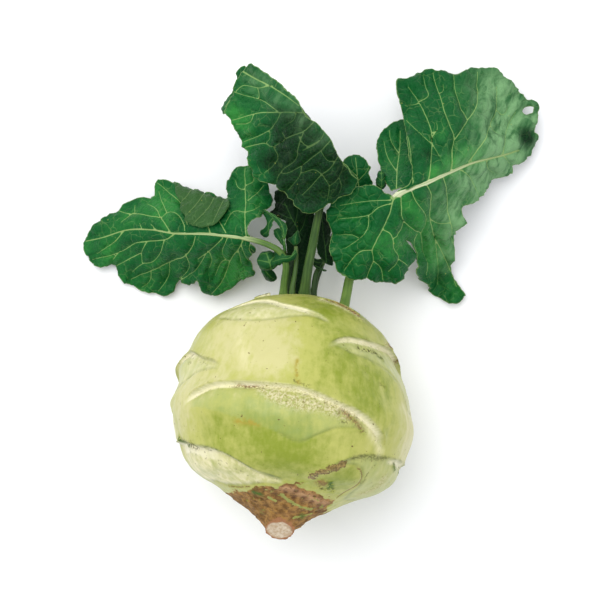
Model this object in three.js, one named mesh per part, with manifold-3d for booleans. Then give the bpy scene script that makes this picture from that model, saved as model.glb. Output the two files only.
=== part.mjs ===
// A kohlrabi as picked, lying on its side: the swollen stem (the bulb) with its corky root end, the stalks
// and blades of its three large leaves, and the small leaves between them.
// Millimetres. +Z is up and the plant lies on z = 0. The crown, where the stalks grow, points along +Y.
// The origin is the centre of the small flat spot on the bulb's side that the plant rests on.
import * as THREE from "three";
import { mergeVertices } from "three/addons/utils/BufferGeometryUtils.js";
import Module from "manifold-3d";

const wasm = await Module();
wasm.setup();

// Driving dimensions
const BULB_RADIUS = 50;
const BULB_LEAN = THREE.MathUtils.degToRad(7); // the crown leans towards +X
const BULB_TILT = THREE.MathUtils.degToRad(14); // and dips towards the floor, which lifts the cut root
const BULB_CENTRE_HEIGHT = 47.6; // a little less than the radius, which leaves a rest spot about 20 wide
const BULB_SIDES = 44;
const BLADE_THICKNESS = 1.2;
const GAP = 0.3; // between pieces that touch on the plant
const GRID = 5; // mesh step of the blades
const FLOOR_CLEARANCE = 0.8; // a blade's middle surface where it lies on the floor
const HEIGHT_SOFTNESS = 8; // how gently a blade bends from one height point to the next
const SLAB_MARGIN = 1; // how far a blade's slab reaches past its outline before it is trimmed
const CUTTER = { low: -40, high: 160 }; // heights of the trimming tool, clear of every blade

// The bulb's outline as [height along the axis, radius], from the crown to the cut root.
// Heights and radii are shares of BULB_RADIUS.
const BULB_PROFILE = [
  [1.04, 0], [1.01, 0.2], [0.93, 0.43], [0.86, 0.54], [0.754, 0.672], [0.632, 0.754], [0.5, 0.828],
  [0.312, 0.918], [0.164, 0.956], [0, 1], [-0.12, 0.988], [-0.27, 0.926], [-0.41, 0.86], [-0.52, 0.754],
  [-0.6, 0.59], [-0.68, 0.442], [-0.77, 0.296], [-0.86, 0.172], [-0.94, 0.114], [-0.98, 0.1], [-0.98, 0],
];

// Where the bulb swells out of round: height along the axis (share of the radius), angle round the axis from
// +Z towards +X in degrees, how far the swelling spreads each way, and how much it stands out in millimetres.
const BULB_SWELLINGS = [
  { height: 0.62, angle: -75, heightSpread: 0.24, angleSpread: 50, rise: 4.4 }, // upper left shoulder
  { height: 0.3, angle: -88, heightSpread: 0.1, angleSpread: 22, rise: 3 }, // lip of a leaf scar on the left
  { height: -0.42, angle: 86, heightSpread: 0.12, angleSpread: 24, rise: 2.2 }, // and on the right
];

// Flat outlines seen from above as [x, y], and the heights [x, y, z] that each blade is bent through.
const LEFT_BLADE = {
  outline: [
    [-18, 72.5], [-18.5, 71], [-17, 69.5], [-18.5, 66], [-15.5, 61.5], [-22.5, 57.5], [-29, 53],
    [-35.5, 51], [-38.5, 52.5], [-41, 59], [-44.5, 56], [-49.5, 57], [-53, 52.5], [-60.5, 52],
    [-67.5, 53], [-71.5, 56.5], [-77, 61], [-79, 63.5], [-88, 65], [-90, 69], [-91.5, 74], [-85.5, 81],
    [-79, 85.5], [-72, 90.5], [-66.5, 93], [-60, 94], [-59, 99.5], [-56, 100.5], [-50.5, 98.5],
    [-42.5, 95.5], [-35, 93], [-27.5, 91], [-27.5, 95.5], [-26.5, 101.5], [-23, 105.5], [-18, 106],
    [-16, 102], [-14.5, 99], [-11, 98.5], [-10.5, 94.5], [-8.5, 90.5], [-9.5, 87.5], [-12, 86.5],
    [-17, 81.5], [-19, 78], [-18, 75.5],
  ],
  heights: [
    [-18, 75, 38], [-33, 76, 35], [-50, 77, 28], [-68, 79, 17], [-82, 77, 9], [-91, 74, 2.5],
    [-86, 81, 6], [-72, 90, 9], [-59, 99, 11], [-42, 95, 20], [-28, 91, 26], [-20, 105, 24],
    [-11, 94, 29], [-19, 90, 33], [-88, 65, 2.5], [-71, 57, 1.4], [-59, 52, 0.8], [-48, 57, 8],
    [-35, 51, 6], [-23, 58, 14], [-16, 62, 22], [-57, 65, 14], [-38, 65, 21],
  ],
};
// The left blade's upper margin is folded over along this line and lies on the blade.
const LEFT_FLAP = {
  hem: [[-50.5, 98], [-42.5, 95], [-35, 92.5], [-28, 90.7]],
  outline: [
    [-50, 98], [-42.5, 95.5], [-35, 93], [-27.5, 91], [-27, 88], [-27.5, 85], [-30, 82], [-34.5, 79.5],
    [-41, 79.5], [-45, 81.5], [-47.5, 87], [-49, 92.5],
  ],
  lift: 3,
};
const CENTRE_BLADE = {
  outline: [
    [-20.5, 142.5], [-17, 145], [-14, 143.5], [-7.5, 138], [-3, 134], [1.5, 129], [5.5, 122.5],
    [11.5, 117], [16, 111], [19.5, 104.5], [23, 100.5], [26.5, 97], [24.5, 93.5], [18.5, 90.5],
    [14, 87.5], [11, 86], [5.5, 86], [1, 89.5], [-3.5, 94], [-5.5, 96], [-10, 97.5], [-14.5, 99],
    [-16.5, 105.5], [-19, 110], [-21, 112.5], [-22, 117], [-25, 121.5], [-27, 126.5], [-25.5, 130],
    [-24, 135], [-21.5, 140.5],
  ],
  heights: [
    [-19, 144, 50], [-8, 138, 60], [6, 123, 70], [16, 111, 69], [23, 101, 63], [26, 97, 59],
    [-27, 127, 46], [-22, 117, 46], [-16, 106, 46], [-10, 97, 48], [1, 89, 51], [11, 86, 54],
    [18, 91, 57], [-7, 121, 62], [3, 105, 63], [13, 97, 62], [-23, 135, 47],
  ],
};
// The other half of the centre blade hangs down behind its ridge, from the ridge to the lower margin.
const CENTRE_RIDGE = [
  [-15, 143, 53], [-7.5, 137, 60.5], [1.5, 127.5, 67], [6, 121, 69.5], [15, 110, 68.5], [24, 98, 61],
];
const CENTRE_BACK_MARGIN = [
  [-16, 139, 42], [-9, 133, 30], [-2, 125, 20], [4, 115, 15], [12, 104, 14], [20, 96, 26],
];
const CENTRE_RIDGE_RADII = [1.2, 1.5];
const RIGHT_BLADE = {
  outline: [
    [41.5, 90.5], [43, 93.5], [46, 95.5], [49, 99], [47.5, 112.5], [46.5, 122.5], [45.5, 129.5],
    [43.5, 137], [44, 141.5], [48, 143], [52.5, 145.5], [58.5, 147], [62.5, 145.5], [71.5, 144.5],
    [76, 147.5], [84.5, 147.5], [89.5, 144.5], [95, 141], [99.5, 136.5], [104.5, 134.5], [106.5, 132],
    [104.5, 126.5], [103, 122.5], [106, 120], [102, 113.5], [95.5, 107.5], [89.5, 101.5], [83.5, 98.5],
    [78.5, 94], [74.5, 91], [70, 87], [71, 83.5], [68.5, 80], [69, 73.5], [68.5, 63.5], [70.5, 57.5],
    [74.5, 51.5], [72.5, 48], [68, 47.5], [62, 50.5], [55.5, 56.5], [51, 60.5], [50.5, 68.5],
    [48.5, 73], [46, 74], [48.5, 70], [48.5, 63], [44, 58.5], [40, 56.5], [35, 56], [30, 58.5],
    [27, 58], [20, 59.5], [17, 64.5], [15.5, 70.5], [16, 77], [14.5, 82], [15, 86.5], [19, 92.5],
    [26, 94.5], [32.5, 94.5], [39, 92],
  ],
  heights: [
    [40, 91, 51], [55, 97, 45], [69, 104, 35], [82, 108, 25], [96, 113, 13], [107, 119, 6], [49, 99, 47],
    [46, 122, 35], [44, 137, 25], [58, 147, 20], [76, 148, 16], [89, 144, 12], [105, 135, 7],
    [61, 124, 36], [79, 129, 25], [94, 126, 13], [102, 113, 6], [90, 102, 10], [78, 94, 18],
    [70, 87, 25], [69, 73, 16], [68, 64, 8], [74, 51, 0.8], [68, 47, 0.8], [56, 57, 10], [50, 68, 26],
    [58, 74, 23], [46, 74, 38], [49, 63, 33], [40, 56, 36], [30, 58, 42], [20, 60, 43], [15, 70, 44],
    [14, 82, 46], [19, 92, 49], [33, 95, 51], [32, 75, 50],
  ],
};
const RIGHT_BACK_LOBE = {
  outline: [
    [44, 94], [40.5, 93], [39.5, 95], [37, 102], [35.5, 109.5], [35.5, 115.5], [37.5, 120],
    [41, 123.5], [44, 125], [47, 125], [49, 116.5], [49.5, 105], [48, 97.5],
  ],
  heights: [
    [43, 93, 49.5], [38, 103, 36], [35, 112, 28], [37, 120, 24], [44, 125, 22], [49, 117, 26],
    [49, 103, 40], [43, 107, 34],
  ],
};
const SMALL_BLADE = {
  outline: [
    [21.5, 106], [23.5, 109], [27.5, 109.5], [30.5, 107], [32.5, 104.5], [31.5, 101], [33, 96.5],
    [28.5, 93], [24.5, 96.5], [24.5, 100.5], [22, 103],
  ],
  heights: [[22, 105, 38], [28, 109, 36], [32, 105, 38], [28, 94, 34], [27, 101, 37]],
};
const INNER_LEFT_BLADE = {
  outline: [
    [-10, 86.8], [-8.4, 88.4], [-8.4, 90.6], [-6.8, 95], [-3.4, 95], [-1.4, 92.8], [0.8, 91.2], [5, 87.8],
    [8.6, 87.2], [7.8, 80], [5.5, 74], [2, 70], [-1.5, 72.5], [-3, 78.4], [-4.4, 82.6], [-8, 84.6],
  ],
  heights: [[-4, 94, 24], [5, 87, 27], [2, 71, 27], [-9, 87, 21], [1, 80, 28], [8, 81, 23]],
};
const INNER_RIGHT_BLADE = {
  outline: [
    [11, 86.5], [14.5, 84.5], [16, 77.5], [17, 70], [17, 63.5], [14, 64], [11, 68], [10, 75.5],
    [10, 82.5],
  ],
  heights: [[11, 87, 27], [16, 78, 24], [17, 65, 25], [11, 69, 28], [13, 76, 28]],
};
const CURLY_BLADE = {
  outline: [
    [-6, 86], [-3, 83], [-3.5, 76], [-3.5, 70.5], [-6.5, 70.5], [-7.5, 75], [-11, 76.5], [-12, 80],
    [-9.5, 83.5],
  ],
  heights: [[-6, 86, 38], [-3, 76, 38.5], [-5, 71, 37.6], [-12, 78, 36], [-7, 79, 40.5]],
};
const HEART_BLADE = {
  outline: [[-2, 75.5], [2.5, 77.5], [3.5, 73], [1.8, 69.6], [-1.4, 70.4]],
  heights: [[-2, 75, 36], [3, 77, 35], [3, 71, 36.5], [-1, 71, 36.5], [1, 73, 38]],
};

// Stalks as centre lines [x, y, z] with the radius at the crown and at the blade.
const STALKS = {
  left_petiole: {
    line: [
      [-4.4, 45, 36], [-3.7, 56, 39], [-3, 63.5, 41.2], [-5.2, 68.5, 42], [-10, 71.5, 41.3],
      [-17.2, 74, 38.8],
    ],
    r: [1.9, 1.5],
  },
  centre_petiole: {
    line: [[4.4, 46, 38], [5.6, 58, 42], [8.2, 72, 44.5], [11, 86, 47.5], [14.5, 97, 52]],
    r: [2.6, 1.6],
  },
  right_petiole: {
    line: [
      [20.5, 42, 31], [22.2, 50, 32.5], [23.8, 58, 34], [27.5, 67, 36.5], [33, 79, 40.5], [39, 88.2, 46.2],
    ],
    r: [2.2, 1.8],
  },
  small_petiole: {
    line: [[8, 45, 25], [9.4, 56, 22], [13, 66, 18], [19.5, 81, 24.5], [26, 92.4, 33]],
    r: [1.5, 1.2],
  },
  inner_left_petiole: {
    line: [[-3, 46, 29], [-2.4, 56, 28], [-1.2, 63, 27], [0.6, 69.4, 26.6]],
    r: [1.8, 1.3],
  },
  inner_right_petiole: {
    line: [[8.6, 45, 31.5], [8.8, 54, 31.5], [9.8, 60, 30.5], [12.6, 63.8, 28.4]],
    r: [1.5, 1.2],
  },
  curly_petiole: {
    line: [[-1.6, 46, 33.5], [-1.4, 56, 33.5], [-2.2, 63, 34.5], [-3.6, 69.4, 36.6]],
    r: [1.2, 0.9],
  },
  heart_petiole: {
    line: [[-0.4, 46, 37.5], [0.2, 54, 38.5], [1, 60, 38.7], [1.4, 66, 38], [1.2, 69.2, 37]],
    r: [1.1, 0.9],
  },
};
const STALK_SIDES = 10;
const RIDGE_SIDES = 8;

// Leaflets and buds, as ellipsoids with three half-axes, turned about Z by an angle in radians.
const LEAFLETS = {
  curled_leaflet: { centre: [-10.4, 65.2, 36.3], halfAxes: [4.2, 3.8, 2.6], turn: 0.3 },
  hanging_leaflet: { centre: [-11, 59.4, 30.5], halfAxes: [3, 4.4, 2.4], turn: 0.6 },
  bud_leaflet: { centre: [36.5, 98.5, 42], halfAxes: [1.6, 3.2, 1.6], turn: 0 },
};
const STUB = { line: [[-12.4, 44, 37.6], [-12.6, 51.4, 38.6]], r: [4.4, 4.2], sides: 12 };

const SKIN_GREEN = 0xb9c46a;
const STALK_GREEN = 0x7fa84c;
const LEAF_GREEN = 0x1f6b33;
const YOUNG_GREEN = 0x17502a;

function material(color, roughness) {
  return new THREE.MeshStandardMaterial({ color, roughness, metalness: 0 });
}

function toSolid(geometry) {
  const bare = geometry.index ? geometry.toNonIndexed() : geometry.clone();
  bare.deleteAttribute("normal");
  bare.deleteAttribute("uv");
  const merged = mergeVertices(bare, 1e-4);
  return new wasm.Manifold(
    new wasm.Mesh({
      numProp: 3,
      vertProperties: merged.attributes.position.array,
      triVerts: new Uint32Array(merged.index.array),
    }),
  );
}

function toGeometry(solid) {
  const mesh = solid.getMesh();
  const positions = new Float32Array(mesh.numVert * 3);
  for (let i = 0; i < mesh.numVert; i++) {
    positions.set(mesh.vertProperties.subarray(i * mesh.numProp, i * mesh.numProp + 3), i * 3);
  }
  const geometry = new THREE.BufferGeometry();
  geometry.setAttribute("position", new THREE.BufferAttribute(positions, 3));
  geometry.setIndex(new THREE.BufferAttribute(mesh.triVerts, 1));
  geometry.computeVertexNormals();
  return geometry;
}

function box(low, high) {
  const size = new THREE.Vector3().subVectors(high, low);
  const centre = new THREE.Vector3().addVectors(low, high).multiplyScalar(0.5);
  return toSolid(new THREE.BoxGeometry(size.x, size.y, size.z).translate(centre.x, centre.y, centre.z));
}

function swellingAt(height, angle) {
  return BULB_SWELLINGS.reduce((sum, s) => {
    const up = (height / BULB_RADIUS - s.height) / s.heightSpread;
    const turn = THREE.MathUtils.radToDeg(angle) - s.angle;
    const round = (THREE.MathUtils.euclideanModulo(turn + 180, 360) - 180) / s.angleSpread;
    return sum + s.rise * Math.exp(-up * up - round * round);
  }, 0);
}

// The bulb: a turned solid whose girth varies a little, laid down, with the rest spot cut flat at z = 0.
function bulbSolid(grow) {
  const profile = BULB_PROFILE.map(([height, radius]) => {
    const r = radius === 0 ? 0 : radius * BULB_RADIUS + grow;
    const end = Math.abs(height) > 0.9 ? Math.sign(height) * grow : 0;
    return new THREE.Vector2(r, height * BULB_RADIUS + end);
  });
  const geometry = new THREE.LatheGeometry(profile.reverse(), BULB_SIDES);
  const at = geometry.attributes.position;
  for (let i = 0; i < at.count; i++) {
    const swell = swellingAt(at.getY(i), Math.atan2(at.getX(i), at.getZ(i)));
    const girth = Math.hypot(at.getX(i), at.getZ(i));
    const share = girth > 1 ? 1 + swell / girth : 1;
    at.setXYZ(i, at.getX(i) * share, at.getY(i), at.getZ(i) * share);
  }
  geometry.rotateX(-BULB_TILT); // the lathe turns about Y, which is the plant's axis
  geometry.rotateZ(-BULB_LEAN);
  geometry.translate(0, 0, BULB_CENTRE_HEIGHT);
  return toSolid(geometry);
}

// A smooth height z(x, y) through every [x, y, z] point, as a sum of one bell per point.
function heightThrough(points) {
  const bell = (x, y, p) => Math.hypot(x - p[0], y - p[1], HEIGHT_SOFTNESS);
  const n = points.length;
  const rows = points.map((p) => [...points.map((q) => bell(p[0], p[1], q)), 1, p[2]]);
  rows.push([...points.map(() => 1), 0, 0]);
  for (let i = 0; i <= n; i++) {
    let pivot = i;
    for (let j = i + 1; j <= n; j++) {
      if (Math.abs(rows[j][i]) > Math.abs(rows[pivot][i])) pivot = j;
    }
    [rows[i], rows[pivot]] = [rows[pivot], rows[i]];
    for (let j = 0; j <= n; j++) {
      if (j === i) continue;
      const share = rows[j][i] / rows[i][i];
      for (let k = i; k <= n + 1; k++) rows[j][k] -= share * rows[i][k];
    }
  }
  const weight = rows.map((row, i) => row[n + 1] / row[i]);
  const bent = (x, y) => points.reduce((z, p, i) => z + weight[i] * bell(x, y, p), weight[n]);
  return (x, y) => Math.max(bent(x, y), FLOOR_CLEARANCE);
}

function smoothOutline(points) {
  const curve = new THREE.CatmullRomCurve3(
    points.map(([x, y]) => new THREE.Vector3(x, y, 0)), true, "centripetal",
  );
  return curve.getPoints(points.length * 2).slice(0, -1).map((p) => new THREE.Vector2(p.x, p.y));
}

// A blade: a thin slab bent to its heights and trimmed by its outline.
function bladeSolid(outline, height) {
  const edge = smoothOutline(outline);
  const bounds = new THREE.Box2().setFromPoints(edge).expandByScalar(SLAB_MARGIN);
  const size = bounds.getSize(new THREE.Vector2());
  const middle = bounds.getCenter(new THREE.Vector2());
  const steps = [Math.ceil(size.x / GRID), Math.ceil(size.y / GRID)];
  const slab = new THREE.BoxGeometry(size.x, size.y, BLADE_THICKNESS, steps[0], steps[1], 1);
  const at = slab.attributes.position;
  for (let i = 0; i < at.count; i++) {
    const x = at.getX(i) + middle.x;
    const y = at.getY(i) + middle.y;
    at.setXYZ(i, x, y, at.getZ(i) + height(x, y));
  }
  const cutter = new THREE.ExtrudeGeometry(new THREE.Shape(edge), {
    depth: CUTTER.high - CUTTER.low,
    bevelEnabled: false,
  }).translate(0, 0, CUTTER.low);
  return toSolid(slab).intersect(toSolid(cutter));
}

// A round stalk along a line, tapering from radii[0] to radii[1], with flat ends.
function stalkSolid(line, radii, sides = STALK_SIDES) {
  const curve = new THREE.CatmullRomCurve3(line.map((p) => new THREE.Vector3(...p)), false, "centripetal");
  const steps = line.length * 3;
  const frames = curve.computeFrenetFrames(steps, false);
  const ring = (i) => Array.from({ length: sides }, (_, k) => {
    const angle = (2 * Math.PI * k) / sides;
    const r = THREE.MathUtils.lerp(radii[0], radii[1], i / steps);
    return curve.getPointAt(i / steps)
      .addScaledVector(frames.normals[i], r * Math.cos(angle))
      .addScaledVector(frames.binormals[i], r * Math.sin(angle));
  });
  const rings = Array.from({ length: steps + 1 }, (_, i) => ring(i));
  const points = rings.flat();
  const index = [];
  const lastRing = steps * sides;
  for (let k = 0; k < sides; k++) {
    const next = (k + 1) % sides;
    for (let i = 0; i < steps; i++) {
      const a = i * sides;
      index.push(a + k, a + next, a + sides + k, a + next, a + sides + next, a + sides + k);
    }
    if (k > 0 && k < sides - 1) {
      index.push(0, k + 1, k, lastRing, lastRing + k, lastRing + k + 1);
    }
  }
  const geometry = new THREE.BufferGeometry().setFromPoints(points);
  geometry.setIndex(index);
  return toSolid(geometry);
}

// A thin sheet between two rails that run side by side.
function sheetSolid(railA, railB, across = 5) {
  const curves = [railA, railB].map(
    (rail) => new THREE.CatmullRomCurve3(rail.map((p) => new THREE.Vector3(...p)), false, "centripetal"),
  );
  const along = railA.length * 2;
  const slab = new THREE.BoxGeometry(1, 1, 1, along, across, 1);
  const at = slab.attributes.position;
  for (let i = 0; i < at.count; i++) {
    const u = at.getX(i) + 0.5;
    const v = at.getY(i) + 0.5;
    const a = curves[0].getPointAt(u);
    const b = curves[1].getPointAt(u);
    const tangent = curves[0].getTangentAt(u);
    const normal = tangent.cross(new THREE.Vector3().subVectors(b, a)).normalize();
    const p = a.lerp(b, v).addScaledVector(normal, at.getZ(i) * BLADE_THICKNESS);
    at.setXYZ(i, p.x, p.y, p.z);
  }
  return toSolid(slab);
}

function simpleBlade({ outline, heights }) {
  return bladeSolid(outline, heightThrough(heights));
}

function leftBlade() {
  const height = heightThrough(LEFT_BLADE.heights);
  const flap = bladeSolid(LEFT_FLAP.outline, (x, y) => height(x, y) + LEFT_FLAP.lift);
  const hemLine = LEFT_FLAP.hem.map(([x, y]) => [x, y, height(x, y) + LEFT_FLAP.lift / 2]);
  const hemRadius = (LEFT_FLAP.lift + BLADE_THICKNESS) / 2;
  const hem = stalkSolid(hemLine, [hemRadius, hemRadius], RIDGE_SIDES);
  return bladeSolid(LEFT_BLADE.outline, height).add(flap).add(hem);
}

function centreBlade() {
  const back = sheetSolid(CENTRE_RIDGE, CENTRE_BACK_MARGIN);
  const ridge = stalkSolid(CENTRE_RIDGE, CENTRE_RIDGE_RADII, RIDGE_SIDES);
  return simpleBlade(CENTRE_BLADE).add(back).add(ridge);
}

function rightBlade() {
  return simpleBlade(RIGHT_BLADE).add(simpleBlade(RIGHT_BACK_LOBE));
}

function leafletSolid({ centre, halfAxes, turn }) {
  const geometry = new THREE.SphereGeometry(1, 14, 9);
  geometry.scale(...halfAxes);
  geometry.rotateZ(turn);
  geometry.translate(...centre);
  return toSolid(geometry);
}

const belowFloor = new THREE.Vector3(1, 1, 0).multiplyScalar(2 * BULB_RADIUS);
const floorCut = box(new THREE.Vector3().setScalar(-2 * BULB_RADIUS), belowFloor);
const bulb = bulbSolid(0).subtract(floorCut);
const crownGap = bulbSolid(GAP);

const kohlrabi = new THREE.Group();
function piece(name, solid, look) {
  const mesh = new THREE.Mesh(toGeometry(solid), look);
  mesh.name = name;
  kohlrabi.add(mesh);
}

piece("bulb", bulb, material(SKIN_GREEN, 0.45));

const stalkLook = material(STALK_GREEN, 0.5);
for (const [name, { line, r }] of Object.entries(STALKS)) {
  piece(name, stalkSolid(line, r).subtract(crownGap), stalkLook);
}

const leafLook = material(LEAF_GREEN, 0.55);
piece("left_blade", leftBlade(), leafLook);
piece("centre_blade", centreBlade(), leafLook);
piece("right_blade", rightBlade(), leafLook);
piece("small_blade", simpleBlade(SMALL_BLADE), leafLook);

const youngLook = material(YOUNG_GREEN, 0.6);
piece("inner_left_blade", simpleBlade(INNER_LEFT_BLADE), youngLook);
piece("inner_right_blade", simpleBlade(INNER_RIGHT_BLADE), youngLook);
piece("curly_blade", simpleBlade(CURLY_BLADE), youngLook);
piece("heart_blade", simpleBlade(HEART_BLADE), youngLook);

for (const [name, leaflet] of Object.entries(LEAFLETS)) {
  piece(name, leafletSolid(leaflet), leafLook);
}

// The stub of a leaf that was cut off at the crown
const stub = stalkSolid(STUB.line, STUB.r, STUB.sides);
piece("cut_stub", stub.subtract(crownGap), material(SKIN_GREEN, 0.5));

export default kohlrabi;
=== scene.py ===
"""The looks of a kohlrabi lying on its side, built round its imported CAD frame.

Lengths are in millimetres here and become metres when a mesh is made. Outlines, heights and stalk lines are
those of the CAD part, in the same frame: +Z up, the floor at z = 0, the crown towards +Y.
"""
import math

import bpy
import numpy as np
from mathutils import Matrix, Vector, noise
from mathutils.geometry import delaunay_2d_cdt


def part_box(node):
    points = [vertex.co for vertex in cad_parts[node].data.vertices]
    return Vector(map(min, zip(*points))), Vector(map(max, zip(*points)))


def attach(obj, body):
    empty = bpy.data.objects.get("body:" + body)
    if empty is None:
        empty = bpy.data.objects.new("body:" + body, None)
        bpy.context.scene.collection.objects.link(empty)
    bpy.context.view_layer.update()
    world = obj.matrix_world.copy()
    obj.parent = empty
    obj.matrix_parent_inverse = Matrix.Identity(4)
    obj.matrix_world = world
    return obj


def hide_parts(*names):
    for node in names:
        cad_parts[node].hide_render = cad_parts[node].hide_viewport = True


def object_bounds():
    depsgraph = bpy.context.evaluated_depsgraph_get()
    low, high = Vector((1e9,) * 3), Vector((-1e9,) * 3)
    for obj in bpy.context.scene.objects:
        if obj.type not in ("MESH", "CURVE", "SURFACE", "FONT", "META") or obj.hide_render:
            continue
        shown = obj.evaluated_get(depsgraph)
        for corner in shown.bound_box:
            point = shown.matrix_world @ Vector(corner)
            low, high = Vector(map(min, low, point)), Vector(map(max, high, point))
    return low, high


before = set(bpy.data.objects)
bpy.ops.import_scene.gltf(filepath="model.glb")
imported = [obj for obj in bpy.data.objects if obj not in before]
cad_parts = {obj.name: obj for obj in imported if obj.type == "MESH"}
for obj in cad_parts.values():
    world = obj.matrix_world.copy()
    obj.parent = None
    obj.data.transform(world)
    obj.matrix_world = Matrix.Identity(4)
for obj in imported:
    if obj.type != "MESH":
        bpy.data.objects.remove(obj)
CAD_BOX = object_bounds()

MM = 0.001

# The bulb, as in the CAD part
BULB_RADIUS = 50
BULB_LEAN = math.radians(7)
BULB_TILT = math.radians(14)
BULB_CENTRE_HEIGHT = 47.6
BULB_COLUMNS = 440
BULB_ROWS = 225
BULB_PROFILE = [
    [1.04, 0.004], [1.01, 0.2], [0.93, 0.43], [0.86, 0.54], [0.754, 0.672], [0.632, 0.754], [0.5, 0.828],
    [0.312, 0.918], [0.164, 0.956], [0, 1], [-0.12, 0.988], [-0.27, 0.926], [-0.41, 0.86], [-0.52, 0.754],
    [-0.6, 0.59], [-0.68, 0.442], [-0.77, 0.296], [-0.86, 0.172], [-0.94, 0.114], [-0.98, 0.1],
    [-0.984, 0.07], [-0.988, 0.035], [-0.992, 0.006],
]
# Height along the axis (share of the radius), angle, spread of both, and rise
BULB_SWELLINGS = [
    (0.62, -75, 0.24, 50, 4.4),
    (0.3, -88, 0.1, 22, 3),
    (-0.42, 86, 0.12, 24, 2.2),
]

# Leaf scars on the bulb. Each runs round it as [angle, height]: its upper lip, and the lower end of the
# sunken lens under the lip. Angles are in degrees round the axis, from the top of the lying bulb towards +X.
# `step` is how far the lip stands out, `cream` where a pale band of that width runs under it, and `pale` how
# pale the lens itself is. `line` is how strongly a thin line of painted shadow follows the lip, and `crease`
# is where, if not all along, the lower end of the lens is creased, with a line of painted shadow.
SCARS = [
    {
        "lip": [[-60, -2.6], [-56, -0.6], [-50, 1.6], [-44, 3.2], [-32, 4.2], [-12, 4.2], [-1, 4], [6, 3],
                [14, 1.4], [21, -0.2], [29, -1.6], [36, -3.8], [42, -6.6], [48, -9.6], [53, -13]],
        "lens": [[-60, -5], [-50, -5.4], [-40, -7], [-25, -10], [-12, -12.6], [-4, -14.6], [4, -16.2],
                 [13, -12.4], [19, -9.8], [24, -8.4], [32, -7.8], [42, -10], [53, -14.5]],
        "step": 2.4, "cream": (-62, 50), "cream_width": 1.9, "pale": 0.0, "line": 0.25,
        "crease": (-10, 34),
    },
    {
        "lip": [[-66, 37], [-56, 41.6], [-40, 43.2], [-28, 42.4], [-20, 41], [-5, 39.4], [8, 37.4], [18, 34]],
        "lens": [[-66, 34], [-56, 33.2], [-42, 31.8], [-28, 31.6], [-16, 33], [-7, 34.6], [4, 35.6],
                 [18, 33.2]],
        "step": 1.0, "cream": (-64, 6), "cream_width": 2.0, "pale": 0.6, "line": 0.5,
    },
    {
        "lip": [[12, 22], [16, 25.4], [24, 28.2], [36, 29.2], [51, 29.8], [66, 30], [80, 28], [92, 22]],
        "lens": [[12, 21], [18, 24], [26, 22.4], [38, 21.6], [50, 19.8], [60, 16], [72, 6], [84, 8],
                 [92, 18]],
        "step": 1.7, "cream": (16, 84), "cream_width": 2.0, "pale": 0.3, "line": 0.5,
    },
    {
        "lip": [[-100, 6], [-92, 13], [-84, 18], [-76, 20], [-66, 18.4], [-58, 16], [-46, 13.4], [-40, 11]],
        "lens": [[-100, 2], [-86, 4], [-72, 6], [-58, 9.5], [-46, 10.6], [-40, 10]],
        "step": 1.6, "cream": (-92, -62), "cream_width": 2.4, "pale": 0.45, "line": 0.5,
    },
    {
        "lip": [[-116, 4], [-100, 3], [-90, 1], [-82, -4], [-78, -10]],
        "lens": [[-116, -10], [-100, -14], [-90, -15], [-82, -15], [-78, -14]],
        "step": 1.3, "cream": (-112, -80), "cream_width": 2.5, "pale": 0.8, "line": 0.0,
    },
    {
        "lip": [[-96, -15], [-84, -16.4], [-68, -17.4], [-59, -19.4], [-46, -20.8], [-37, -22.6],
                [-29, -25.2], [-22, -27.4], [-12, -28.8], [0, -29.8]],
        "lens": [[-96, -30], [-77, -29.8], [-63, -31.4], [-37, -31.8], [-19, -31], [0, -30.6]],
        "step": 2.5, "cream": (-92, -40), "cream_width": 4.0, "pale": 0.95, "line": 1.0,
    },
    {
        "lip": [[22, -23.4], [28, -21.2], [34, -18.8], [42, -16.8], [50, -16], [63, -15], [84, -14],
                [104, -15], [116, -20]],
        "lens": [[22, -24], [30, -21.6], [42, -21], [52, -26], [66, -31], [89, -30], [104, -28], [116, -23]],
        "step": 1.6, "cream": (60, 112), "cream_width": 1.8, "pale": 0.15, "line": 0.7,
    },
    {
        "lip": [[120, 10], [132, 14], [150, 15], [168, 13], [182, 8]],
        "lens": [[120, 6], [132, 0], [150, -4], [168, -1], [182, 5]],
        "step": 1.6, "cream": (122, 178), "cream_width": 1.8, "pale": 0.3, "line": 0.5,
    },
    {
        "lip": [[150, -19], [165, -16], [185, -15], [205, -17], [222, -22]],
        "lens": [[150, -22], [165, -27], [185, -29], [205, -28], [222, -25]],
        "step": 1.7, "cream": (152, 220), "cream_width": 2.0, "pale": 0.6, "line": 0.6,
    },
    {
        "lip": [[196, 30], [210, 33], [228, 34], [244, 31], [256, 27]],
        "lens": [[196, 26], [210, 22], [228, 19], [244, 22], [256, 25]],
        "step": 1.5, "cream": (198, 254), "cream_width": 1.8, "pale": 0.4, "line": 0.5,
    },
    {
        "lip": [[96, 36], [110, 39], [130, 40], [150, 37]],
        "lens": [[96, 34], [110, 31], [130, 31], [150, 34]],
        "step": 1.1, "cream": (98, 148), "cream_width": 1.6, "pale": 0.5, "line": 0.3,
    },
]

# The root was cut off on a slant: the cut's height on the bulb's axis, how much it rises towards the side
# that lies upwards, how far up the bulb it may reach, and the middle and radius of the wood inside its rim
ROOT_CUT_HEIGHT = -46.8
ROOT_CUT_SLOPE = 0.5
ROOT_CUT_LIMIT = -38
ROOT_CUT_MIDDLE = 1.5
ROOT_CUT_RADIUS = 6.3

# The edge between green skin and the corky brown root end, as [angle, height]
CORK_EDGE = [[-180, -36], [-130, -35], [-98, -33], [-68, -33.8], [-45, -33.6], [-28, -32.8], [-15, -32],
             [-4, -31.2], [5, -30.6], [14, -30.6], [23, -31.4], [34, -31.8], [47, -32.4], [58, -33.4],
             [70, -35.6], [84, -36.4], [130, -36], [180, -36]]
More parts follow.
